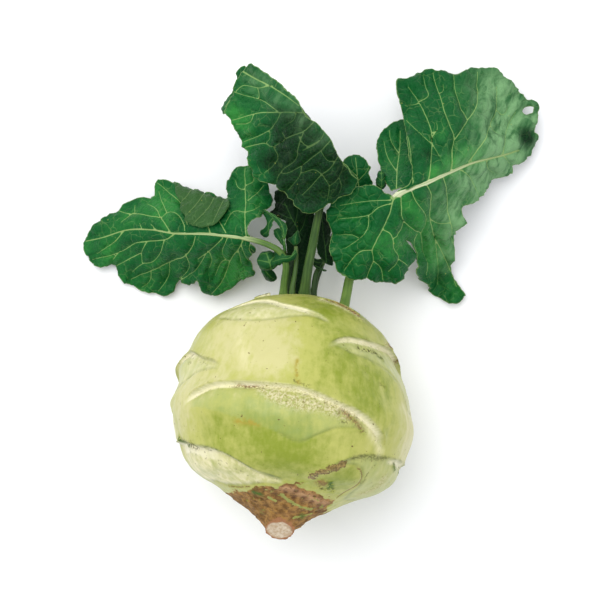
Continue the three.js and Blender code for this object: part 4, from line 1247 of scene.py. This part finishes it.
def leaf_material(name, dark, mid, light, vein, roughness=0.46):
    s = Shade(name, roughness, coat=0.0)
    s.shader.inputs["Specular IOR Level"].default_value = 0.12
    share, gap, margin = s.number("vein"), s.number("vein_gap"), s.number("margin")
    tone_and_shading, bloom_and_sheen, under = s.number("tone_and_shading"), s.number("bloom_and_sheen"), s.number("under")

    blotch = s.noise(11, 4)
    fine = s.noise(1.5, 4)
    # Tone runs from -1, painted shade as in the blade's dark hollows, to 1, where it is yellower and has
    # painted light
    level = s.plus(s.swing(blotch, 1.1), tone_and_shading)
    level = s.plus(level, s.swing(fine, 0.5))
    color = s.mix(s.ramp(level, -0.75, 0.1), dark, mid)
    color = s.mix(s.ramp(level, 0.05, 0.85), color, light)
    color = s.mix(s.ramp(level, 0.75, 1.3, 0, 0.7), color, LEAF_YELLOW)
    # Fine veins: a crooked net, and a finer one between its threads
    net = s.ramp(s.cells(4.6, where=s.warped(3.5, 2.4)), 0.04, 0.008)
    net = s.times(net, s.ramp(s.noise(7, 2), 0.42, 0.62))
    # The fine net fades where the tone paints shade
    net = s.times(net, s.ramp(tone_and_shading, -0.6, 0.1, 0.3, 1))
    small = s.ramp(s.cells(1.5, where=s.warped(1.5, 0.9)), 0.09, 0.015)
    color = s.mix(s.times(small, 0.10), color, light)
    color = s.mix(s.times(net, 0.22), color, vein)
    # Waxy bloom, with painted sheen
    combed = s.noise(3.4, 5, where=s.combed(BLOOM_AND_SHEEN_ANGLE, 4))
    haze = s.times(bloom_and_sheen, s.ramp(combed, 0.3, 0.66, 0.15, 1), clamp=True)
    color = s.mix(haze, color, BLOOM_AND_SHEEN)
    # Traced veins, in a paler border, dimmed where the tone paints shade
    bright = s.ramp(tone_and_shading, -0.5, 0.1, 0.28, 1)
    color = s.mix(s.times(s.ramp(gap, 1.3, 0.0, 0, 0.22), bright), color, light)
    line = s.times(s.ramp(share, 1.4, 0.65), s.times(bright, 0.8))
    color = s.mix(line, color, vein)
    color = s.mix(s.ramp(margin, 0.35, 0.05, 0, 0.6), color, vein)
    pale = s.mix(s.ramp(share, 2.0, 0.6), UNDERSIDE, UNDERSIDE_VEIN)
    pale = s.mix(s.times(net, 0.4), pale, UNDERSIDE_NET)
    color = s.mix(under, color, pale)
    # Small yellow flecks
    flecks = s.ramp(s.cells(2.6, "F1"), 0.16, 0.06)
    flecks = s.times(flecks, s.ramp(s.noise(5, 2), 0.58, 0.7))
    color = s.mix(s.times(flecks, 0.6), color, LEAF_FLECK)

    rough = s.ramp(s.noise(4, 3), 0.3, 0.7, roughness - 0.07, roughness + 0.08)
    rough = s.plus(rough, s.times(haze, 0.2))
    quilt = s.ramp(s.cells(4.6, where=s.warped(3.5, 2.4)), 0.0, 0.2)
    pebble = s.ramp(s.cells(1.5, where=s.warped(1.5, 0.9)), 0.0, 0.3)
    relief = s.plus(s.times(pebble, 0.45), quilt)
    relief = s.plus(relief, s.times(s.noise(0.7, 2), 0.3))
    return s.finish(color, rough, s.bump(relief, 0.3, 0.75))


# Colours of the stalks and midribs
STALK_DARK = (0.068, 0.155, 0.022)
STALK_LIGHT = (0.155, 0.27, 0.050)
STALK_FOOT = (0.20, 0.29, 0.075)
STALK_BLOTCH = (0.045, 0.11, 0.022)
RIB_DARK = (0.22, 0.33, 0.09)
RIB_LIGHT = (0.36, 0.46, 0.18)
RIB_CREAM_DARK = (0.50, 0.56, 0.30)
RIB_CREAM = (0.66, 0.68, 0.46)
GROOVE_GREEN = (0.04, 0.10, 0.02)
STALK_SHADE = (0.010, 0.035, 0.008)
STALK_SHADE_LIGHT = (0.035, 0.085, 0.016)


def stalk_material():
    s = Shade("stalk", 0.45)
    s.shader.inputs["Specular IOR Level"].default_value = 0.2
    along, groove = s.number("along"), s.number("groove")
    streak = s.noise(1.1, 3, where=s.vector("grain"))
    color = s.mix(s.ramp(streak, 0.3, 0.7), STALK_DARK, STALK_LIGHT)
    color = s.mix(s.ramp(along, 0.0, 0.5, 0.55, 0.0), color, STALK_FOOT)
    color = s.mix(s.ramp(s.noise(6, 2), 0.45, 0.75, 0, 0.5), color, STALK_BLOTCH)
    rib = s.mix(s.ramp(streak, 0.3, 0.7), RIB_DARK, RIB_LIGHT)
    rib_base = s.mix(s.ramp(streak, 0.3, 0.7), RIB_CREAM_DARK, RIB_CREAM)
    rib = s.mix(s.times(s.number("cream"), s.ramp(along, 2.6, 1.1)), rib, rib_base)
    color = s.mix(s.ramp(along, 0.85, 1.1), color, rib)
    color = s.mix(s.times(groove, 0.35), color, GROOVE_GREEN)
    # Painted shade, as deep as the stalk's dark number, on the stalk but not on its midrib
    shaded = s.times(s.number("dark"), s.ramp(along, 1.2, 0.9))
    color = s.mix(shaded, color, s.mix(s.ramp(streak, 0.4, 0.7), STALK_SHADE, STALK_SHADE_LIGHT))
    relief = s.plus(streak, s.times(s.noise(0.8, 2), 0.3))
    return s.finish(color, s.ramp(streak, 0.2, 0.8, 0.36, 0.52), s.bump(relief, 0.18, 0.6))


# Colours of the bulb: skin, dried scars, marks, corky end and cut root
PALE_SKIN_AND_HIGHLIGHT = (0.53, 0.50, 0.22)
SKIN_GREEN = (0.42, 0.425, 0.105)
DEEP_SKIN = (0.215, 0.265, 0.022)
LENS_GREEN = (0.285, 0.355, 0.125)
DRIED_PALE = (0.76, 0.70, 0.42)
DRIED_GREEN = (0.55, 0.53, 0.22)
CREAM = (0.84, 0.79, 0.58)
CREAM_GREEN = (0.66, 0.62, 0.33)
LIP_SHADOW_LINE = (0.10, 0.13, 0.010)
YELLOW_MARK = (0.34, 0.27, 0.035)
CHIP_PALE = (0.60, 0.55, 0.33)
CHIP_DARK = (0.33, 0.31, 0.10)
LIP_DIRT = (0.13, 0.10, 0.03)
UMBER = (0.26, 0.15, 0.05)
DARK_UMBER = (0.10, 0.055, 0.02)
SCAB_TAN = (0.31, 0.215, 0.065)
SCAB_BROWN = (0.13, 0.09, 0.02)
CRACK_BROWN = (0.20, 0.11, 0.03)
KNOB_BROWN = (0.24, 0.15, 0.05)
DARK_MARK = (0.075, 0.068, 0.012)
MOSS_DARK = (0.03, 0.09, 0.012)
MOSS_LIGHT = (0.10, 0.17, 0.03)
SPECK = (0.13, 0.11, 0.025)
BARK_DARK = (0.14, 0.066, 0.014)
BARK_LIGHT = (0.35, 0.19, 0.05)
FLAP_DARK = (0.33, 0.17, 0.07)
FLAP_LIGHT = (0.50, 0.29, 0.14)
NECK_ORANGE = (0.43, 0.21, 0.075)
BARK_CREVICE = (0.07, 0.035, 0.01)
PIT_BROWN = (0.10, 0.040, 0.015)
BARK_GREEN = (0.27, 0.29, 0.05)
STRIP_DARK = (0.20, 0.21, 0.035)
STRIP_LIGHT = (0.40, 0.40, 0.12)
WOOD_LIGHT = (0.68, 0.57, 0.42)
WOOD_DARK = (0.50, 0.36, 0.22)
ROOT_RIM = (0.36, 0.16, 0.065)


def skin_base(s, streaks, mottle):
    """Skin between pale yellow-green, partly painted highlight, and full green."""
    green = s.plus(s.number("green"), s.swing(s.noise(20, 4), 1.0))
    green = s.plus(green, s.swing(mottle, 1.05))
    green = s.plus(green, s.swing(streaks, 0.85))
    color = s.mix(s.ramp(green, -0.85, -0.1), PALE_SKIN_AND_HIGHLIGHT, SKIN_GREEN)
    return s.mix(s.ramp(green, -0.15, 0.75), color, DEEP_SKIN)


def with_scars(s, color, streaks, mottle):
    """Sunken lenses in a cooler green, or pale where the scar has dried, the lips' bands, and thin lines of
    painted shadow along the lips and creases.
    """
    color = s.marked(color, "lens", s.ramp(mottle, 0.2, 0.8, 0.15, 0.55), LENS_GREEN)
    pale = s.mix(s.ramp(streaks, 0.3, 0.7), DRIED_PALE, DRIED_GREEN)
    color = s.marked(color, "pale", s.ramp(s.noise(7, 4), 0.25, 0.6, 0.35, 1.0), pale)
    cream = s.mix(streaks, CREAM, CREAM_GREEN)
    color = s.marked(color, "cream", s.ramp(s.noise(5, 4), 0.25, 0.5, 0.45, 1.0), cream)
    # Thin lines of painted shadow along the lips and creases
    return s.marked(color, "line", s.ramp(s.noise(4, 3), 0.3, 0.6, 0.3, 0.9), LIP_SHADOW_LINE)


def with_marks(s, color, crumbs, rough_skin, moss):
    """Yellow, rough, brown and dark marks, dirt along the lips, moss, and specks scattered at random."""
    color = s.marked(color, "yellow", s.ramp(s.noise(1.6, 3), 0.3, 0.6), YELLOW_MARK)
    chips = s.mix(s.ramp(s.noise(0.9, 3), 0.42, 0.62), CHIP_PALE, CHIP_DARK)
    color = s.mix(rough_skin, color, chips)
    color = s.marked(color, "edge", s.ramp(s.noise(1.3, 4), 0.54, 0.64, 0, 0.7), LIP_DIRT)
    umber = s.mix(s.ramp(s.noise(0.8, 3), 0.4, 0.6), UMBER, DARK_UMBER)
    color = s.marked(color, "brown", s.ramp(crumbs, 0.36, 0.5), umber)
    tan = s.mix(s.ramp(s.noise(0.9, 3), 0.35, 0.65), SCAB_TAN, SCAB_BROWN)
    ragged = s.plus(s.number("scab"), s.swing(s.noise(1.8, 4), 2.4))
    color = s.mix(s.ramp(ragged, 0.42, 0.56), color, tan)
    color = s.mix(s.times(s.ramp(s.number("crack"), 0.3, 0.7), 0.8), color, CRACK_BROWN)
    color = s.marked(color, "knob", s.ramp(crumbs, 0.35, 0.55), KNOB_BROWN)
    color = s.marked(color, "dark", s.ramp(s.noise(1.0, 4), 0.46, 0.55), DARK_MARK)
    color = s.marked(color, "moss", s.ramp(crumbs, 0.38, 0.5), moss)
    specks = s.times(s.ramp(s.cells(1.9, "F1"), 0.13, 0.05), s.ramp(s.noise(9, 3), 0.52, 0.64))
    return s.mix(s.times(specks, 0.55), color, SPECK)


def cork_bark(s, cork, streaks, crumbs, moss):
    """The corky root end: brown bark with a paler flap, pits, crevices, and strips of skin left on it."""
    layers = s.noise(2.6, 5, where=s.warped(3, 2))
    bark = s.mix(s.ramp(layers, 0.35, 0.65), BARK_DARK, BARK_LIGHT)
    neck = s.times(s.ramp(cork, 7, 13), s.ramp(s.noise(3, 3), 0.35, 0.65))
    bark = s.mix(s.times(neck, 0.6), bark, NECK_ORANGE)
    flap = s.mix(s.ramp(s.noise(3, 3), 0.35, 0.65), FLAP_DARK, FLAP_LIGHT)
    bark = s.marked(bark, "flap", s.ramp(s.noise(3.5, 3), 0.2, 0.45), flap)
    crevices = s.times(s.ramp(s.noise(1.2, 4), 0.55, 0.66), s.ramp(cork, 0, 1))
    bark = s.mix(s.times(crevices, 0.6), bark, BARK_CREVICE)
    bark = s.marked(bark, "pit", 1.0, PIT_BROWN)
    left_green = s.times(s.ramp(s.noise(4.0, 3, distortion=1.0), 0.60, 0.66), s.ramp(cork, 8, 3))
    bark = s.mix(s.times(left_green, 0.8), bark, BARK_GREEN)
    strip = s.plus(s.number("strip"), s.swing(s.noise(1.6, 4), 2.2))
    bark = s.mix(s.ramp(strip, 0.42, 0.62), bark, s.mix(streaks, STRIP_DARK, STRIP_LIGHT))
    return s.marked(bark, "moss", s.ramp(crumbs, 0.36, 0.48), moss)


def cut_wood(s):
    """The cut root: pale wood in a brown rim."""
    wood = s.mix(s.ramp(s.noise(1.3, 4), 0.35, 0.65), WOOD_LIGHT, WOOD_DARK)
    return s.mix(s.ramp(s.number("rim"), 0.74, 0.9), wood, ROOT_RIM)


def skin_material():
    s = Shade("bulb_skin", 0.38, coat=0.06, coat_roughness=0.3)
    s.shader.inputs["Specular IOR Level"].default_value = 0.27
    grain = s.vector("grain")
    streaks = s.noise(2.2, 4, where=grain)
    mottle = s.noise(4, 5, 0.65)
    crumbs = s.noise(1.1, 4)
    rough_skin = s.times(s.number("rough"), s.ramp(crumbs, 0.3, 0.55), clamp=True)
    moss = s.mix(s.noise(1.0, 3), MOSS_DARK, MOSS_LIGHT)
    cork = s.number("cork")
    depth = s.plus(cork, s.swing(s.noise(2.2, 4), 2.0))
    is_cork = s.ramp(depth, 0.1, 0.5)

    color = with_scars(s, skin_base(s, streaks, mottle), streaks, mottle)
    color = with_marks(s, color, crumbs, rough_skin, moss)
    color = s.mix(is_cork, color, cork_bark(s, cork, streaks, crumbs, moss))
    color = s.mix(s.number("cut"), color, cut_wood(s))

    shine = s.ramp(s.noise(7, 3), 0.3, 0.7, 0.32, 0.46)
    shine = s.plus(shine, s.times(is_cork, 0.45), clamp=True)
    dull = s.plus(rough_skin, s.plus(s.number("dark"), s.number("brown")), clamp=True)
    dull = s.plus(dull, s.plus(s.number("moss"), s.number("knob")), clamp=True)
    shine = s.plus(shine, s.times(dull, 0.5), clamp=True)
    relief = s.plus(s.times(s.noise(1.1, 3, where=grain), 0.35),
                    s.times(s.noise(0.8, 4), s.ramp(depth, -0.5, 1.5, 0.15, 2.0)))
    relief = s.plus(relief, s.times(rough_skin, s.noise(0.7, 3)))
    relief = s.plus(relief, s.times(s.number("scab"), s.noise(0.7, 3)))
    return s.finish(color, shine, s.bump(relief, 0.35, 0.7))


FLOOR_GREY = (0.93, 0.93, 0.94)
FLOOR_WHITE = (0.95, 0.95, 0.96)


def floor_material():
    s = Shade("floor", 0.75)
    color = s.mix(s.noise(40, 2), FLOOR_GREY, FLOOR_WHITE)
    return s.finish(color)


# ---------------------------------------------------------------- pieces


def add_piece(obj, node):
    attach(obj, "root")
    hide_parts(node)


SKIN = skin_material()
STALK = stalk_material()
LEAF = leaf_material("leaf", (0.001, 0.019, 0.004), (0.002, 0.080, 0.016), (0.026, 0.195, 0.032),
                     (0.26, 0.40, 0.13))
SPROUT = leaf_material("sprout_leaf", (0.002, 0.028, 0.007), (0.004, 0.060, 0.014), (0.035, 0.150, 0.030),
                       (0.09, 0.21, 0.05), 0.5)
# Leaf green darkened with painted shade, for the inner blades that lie deep among the stalks
SHADED_INNER_LEAF = leaf_material("young_leaf", (0.001, 0.009, 0.002), (0.002, 0.019, 0.004), (0.008, 0.055, 0.010),
                      (0.05, 0.13, 0.03), 0.55)

add_piece(bulb_object(SKIN), "bulb")


def flat_sheet(spec, seed, **options):
    """A sheet on the height field of its blade, from the blade's data."""
    given = {key: spec[key] for key in ("holes", "bloom_and_sheen", "tone_and_shading") if key in spec}
    return Sheet(spec["outline"], spec["veins"], on_heights(height_through(spec["heights"])), seed=seed,
                 **given, **options)


def small_sheet(spec, seed, **options):
    return flat_sheet(spec, seed, **{**SMALL_SHEET, **options})


def left_blade():
    """The left blade with its upper margin folded over, and a small ear at its base."""
    main = flat_sheet(LEFT_BLADE, 1, pucker=1.3, folds=1.3, wave=1.4)
    height = height_through(LEFT_BLADE["heights"])
    hem = smooth(LEFT_FLAP["hem"], 0.5)

    def over(flat):
        gap = nearest(flat, [(hem, np.ones(len(hem)))])[0]
        turn = np.clip(gap / LEFT_FLAP["bend"], 0, 1)
        rise = LEFT_FLAP["lift"] * np.sqrt(1 - (1 - turn) ** 2) + 0.5 * np.sin(gap / 3.5)
        return np.column_stack([flat, height(flat) + rise])

    flap = Sheet(LEFT_FLAP["outline"], LEFT_FLAP["veins"], over, seed=2, folds=0.2, wave=0.5, flip=True)
    return leaf_object("left_leaf", [main, flap, small_sheet(LEFT_EAR, 17)], LEAF)


def back_veins():
    """The midrib and forked side veins of the middle blade's lower half, on the flat strip."""
    length = CENTRE_BACK["length"]
    veins = [(1.4, [(0.5, 0.6), (length / 3, 0.6), (length * 2 / 3, 0.6), (length - 1, 0.6)])]
    for start, lean in CENTRE_BACK["side_veins"]:
        veins.append((0.9, [(start, 0.5), (start + lean * 0.3, 12), (start + lean * 0.8, 24),
                            (start + lean, 39)]))
        veins.append((0.5, [(start + lean * 0.5, 17), (start + lean * 0.5 + 4, 26), (start + lean + 5, 34)]))
    return veins


def centre_blade():
    """The middle blade, folded along its midrib: the upper half, the lower half and the curled margin."""
    main = flat_sheet(CENTRE_BLADE, 3, pucker=1.3, folds=1.4, wave=1.2)
    rails = between_rails(CENTRE_RIDGE, CENTRE_BACK_MARGIN, CENTRE_BACK["length"], CENTRE_BACK["width"])
    back = Sheet(CENTRE_BACK["outline"], back_veins(), rails, seed=4, flip=True)
    curl = small_sheet(CENTRE_CURL, 18, wave=1.6, teeth=1.0)
    return leaf_object("centre_leaf", [main, back, curl], LEAF)


def right_blade():
    main = flat_sheet(RIGHT_BLADE, 5, pucker=1.6, folds=1.6, wave=1.8)
    lobe = flat_sheet(RIGHT_BACK_LOBE, 6)
    return leaf_object("right_leaf", [main, lobe], LEAF)


add_piece(left_blade(), "left_blade")
add_piece(centre_blade(), "centre_blade")
add_piece(right_blade(), "right_blade")
add_piece(leaf_object("small_leaf", [small_sheet(SMALL_BLADE, 7, cup=1.5)], LEAF), "small_blade")
add_piece(leaf_object("inner_left_leaf", [small_sheet(INNER_LEFT_BLADE, 8, folds=1.2)], SHADED_INNER_LEAF),
          "inner_left_blade")
inner_right = [small_sheet(INNER_RIGHT_BLADE, 9), small_sheet(RIGHT_BIT, 12), small_sheet(RIGHT_SPIKE, 13)]
add_piece(leaf_object("inner_right_leaf", inner_right, SHADED_INNER_LEAF), "inner_right_blade")
curly = [small_sheet(CURLY_LOBE, 10), small_sheet(CURLY_RIBBON, 14, cup=1.2), small_sheet(CURLY_ROUND, 15)]
add_piece(leaf_object("curly_leaf", curly, SPROUT, SPROUT_THICKNESS), "curly_blade")
heart = [small_sheet(HEART_BLADE, 11), small_sheet(HEART_COLLAR, 16, cup=1.4)]
add_piece(leaf_object("heart_leaf", heart, SPROUT, SPROUT_THICKNESS), "heart_blade")

BLADE_OF = {"left_blade": LEFT_BLADE, "right_blade": RIGHT_BLADE}
STALK_SIDES = 20


def stalk_object(node, spec):
    """A grooved stalk that flares where it leaves the bulb and runs on as the blade's midrib."""
    line = spec["line"]
    r_crown, r_blade = spec["r"]
    stem_length = sum(math.dist(a, b) for a, b in zip(line, line[1:]))
    if "rib" in spec:
        blade = BLADE_OF[spec["rib"]]
        height = height_through(blade["heights"])
        rib = smooth(blade["veins"][0][1], 3)[1:]
        line = line[:-1] + np.column_stack([rib, height(rib) + 0.1]).tolist()
    points = smooth(line, 0.8)
    along = np.append(0, np.cumsum(np.linalg.norm(np.diff(points, axis=0), axis=1)))
    share = along / stem_length
    radii = r_crown + (r_blade - r_crown) * np.clip(share, 0, 1)
    if "rib" in spec:
        rest = np.clip((along - stem_length) / (along[-1] - stem_length), 0, 1)
        start = r_blade * (1 - 0.2 * ramp(rest, 0, 0.12))
        radii = np.where(rest > 0, start + (spec["end"] - start) * rest ** 0.8, radii)
    leaves_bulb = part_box(node)[0].y / MM
    radii = radii * (1 + 0.45 * np.exp(-np.maximum(points[:, 1] - leaves_bulb, 0) / 2.5) * (share < 0.8))
    sides = STALK_SIDES
    shape, faces = tube(points, radii, sides, flat=0.92, groove=0.22, ribs=0.03)
    turn = np.linspace(0, 2 * np.pi, sides, endpoint=False)
    numbers = {
        "along": np.repeat(share, sides),
        "dark": np.full(len(points) * sides, spec["dark"]),
        "cream": np.full(len(points) * sides, spec.get("cream", 0.0)),
        "groove": np.tile(np.exp(-((turn - np.pi / 2) / 0.4) ** 2), len(points)),
        "grain": np.column_stack([
            np.tile(np.cos(turn) * 2.5, len(points)), np.repeat(along * 0.1, sides),
            np.tile(np.sin(turn) * 2.5, len(points))]) * MM,
    }
    return make_object(node.replace("petiole", "stalk"), shape, faces, numbers, STALK)


for node, spec in STALKS.items():
    add_piece(stalk_object(node, spec), node)


def cupped(centre, axes, turn, reach, seed, material, name):
    """A small leaf curled towards a ball: a round sheet wrapped on an ellipsoid, open on one side."""
    size = 6.0
    ring = [[size * math.cos(a), size * math.sin(a)] for a in np.linspace(0, 2 * np.pi, 14, endpoint=False)]
    spin = Matrix.Rotation(turn, 3, "Z")

    def place(flat):
        r = np.hypot(flat[:, 0], flat[:, 1])
        polar = r / size * reach
        wobble = 1 + 0.10 * fractal(flat, 3, 2, seed)
        level = flat / np.maximum(r, 1e-6)[:, None] * np.sin(polar)[:, None]
        unit = np.column_stack([level, np.cos(polar)]) * wobble[:, None]
        return (unit * axes) @ np.array(spin).T + centre

    veins = [(0.7, [(0, -5.5), (0.2, 0), (0, 5.5)])]
    veins += [(0.4, [(0, y), (side * 2.2, y + 1.2), (side * 4.4, y + 2.0)]) for y in (-3, -0.5, 2)
              for side in (-1, 1)]
    sheet = Sheet(ring, veins, place, seed=seed, pitch=0.45, teeth=0.5, pucker=0.35, folds=0.3, wave=0.5)
    return leaf_object(name, [sheet], material, 0.4)


add_piece(cupped([-10.4, 65.2, 36.3], [4.2, 3.9, 3.0], 0.3, 2.3, 21, SPROUT, "curled_young_leaf"),
          "curled_leaflet")
add_piece(leaf_object("hanging_young_leaf", [small_sheet(HANGING_LEAF, 22, cup=1.6)], SPROUT,
                      SPROUT_THICKNESS), "hanging_leaflet")
add_piece(cupped([36.5, 98.5, 41.6], [1.8, 3.6, 1.8], 0.0, 1.9, 23, SPROUT, "bud_leaf"),
          "bud_leaflet")


STUB_LINE = [[-12.4, 44, 37.6], [-12.5, 48, 38.2], [-12.7, 50.9, 38.6]]
STUB_RADII = (4.2, 3.2)
STUB_SLANT = 0.22


def stub_object():
    """The stub left by a leaf that was cut off: a short flattened stalk with a ragged, slanted end."""
    line = smooth(STUB_LINE, 0.4)
    radii = np.linspace(*STUB_RADII, len(line))
    shape, faces = tube(line, radii, 28, flat=0.5)
    shape[:, 1] += STUB_SLANT * (shape[:, 0] - line[0][0]) * ramp(shape[:, 1], 46, 50)
    shape += 0.5 * fractal(shape, 2.0, 3, 31)[:, None] * np.array([1, 0.8, 1])
    zero = np.zeros(len(shape))
    numbers = {key: zero for key in (*BULB_NUMBERS, "cut", "rim")}
    numbers["green"] = zero + 0.1
    numbers["cream"] = ramp(shape[:, 1], 49.4, 50.6) * 0.8
    numbers["cork"] = zero - 6
    numbers["grain"] = shape * np.array([1, 0.12, 1]) * MM
    return make_object("cut_leaf_stub", shape, faces, numbers, SKIN)


add_piece(stub_object(), "cut_stub")

# ---------------------------------------------------------------- floor, light and camera

# Sizes and places in metres; the lights stand off the middle of the part
FLOOR_SPREAD = 3.0
KEY_LIGHT = {"offset": (-0.26, 0.34, 0.9), "size": 0.9, "power": 8}
FILL_LIGHT = {"offset": (0.55, -0.35, 0.7), "size": 0.8, "power": 1}
SKY_COLOR = (0.95, 0.97, 1, 1)
SKY_STRENGTH = 0.82
CAMERA_HEIGHT = 0.732
CAMERA_SHIFT = (-0.0046, -0.001)
CAMERA_LENS_MM = 100
CAMERA_SENSOR_MM = 36

bpy.ops.mesh.primitive_plane_add(size=FLOOR_SPREAD, location=(0, 0, 0))
floor = bpy.context.object
floor.name = "floor"
floor.data.materials.append(floor_material())


def area_light(name, middle, spec):
    """A round light at its offset from the middle of the part, facing it."""
    light = bpy.data.lights.new(name, "AREA")
    light.shape = "DISK"
    light.size = spec["size"]
    light.energy = spec["power"]
    offset = Vector(spec["offset"])
    obj = bpy.data.objects.new(name, light)
    obj.location = middle + offset
    obj.rotation_euler = (-offset).to_track_quat("-Z", "Y").to_euler()
    bpy.context.scene.collection.objects.link(obj)


middle = (CAD_BOX[0] + CAD_BOX[1]) / 2
area_light("key", middle, KEY_LIGHT)
area_light("fill", middle, FILL_LIGHT)

world = bpy.data.worlds.new("studio")
world.use_nodes = True
world.node_tree.nodes["Background"].inputs["Color"].default_value = SKY_COLOR
world.node_tree.nodes["Background"].inputs["Strength"].default_value = SKY_STRENGTH
bpy.context.scene.world = world
bpy.context.scene.view_settings.view_transform = "Standard"

camera_data = bpy.data.cameras.new("camera")
camera_data.lens = CAMERA_LENS_MM
camera_data.sensor_width = CAMERA_SENSOR_MM
camera = bpy.data.objects.new("camera", camera_data)
camera.location = (middle.x + CAMERA_SHIFT[0], middle.y + CAMERA_SHIFT[1], CAMERA_HEIGHT)
bpy.context.scene.collection.objects.link(camera)
bpy.context.scene.camera = camera
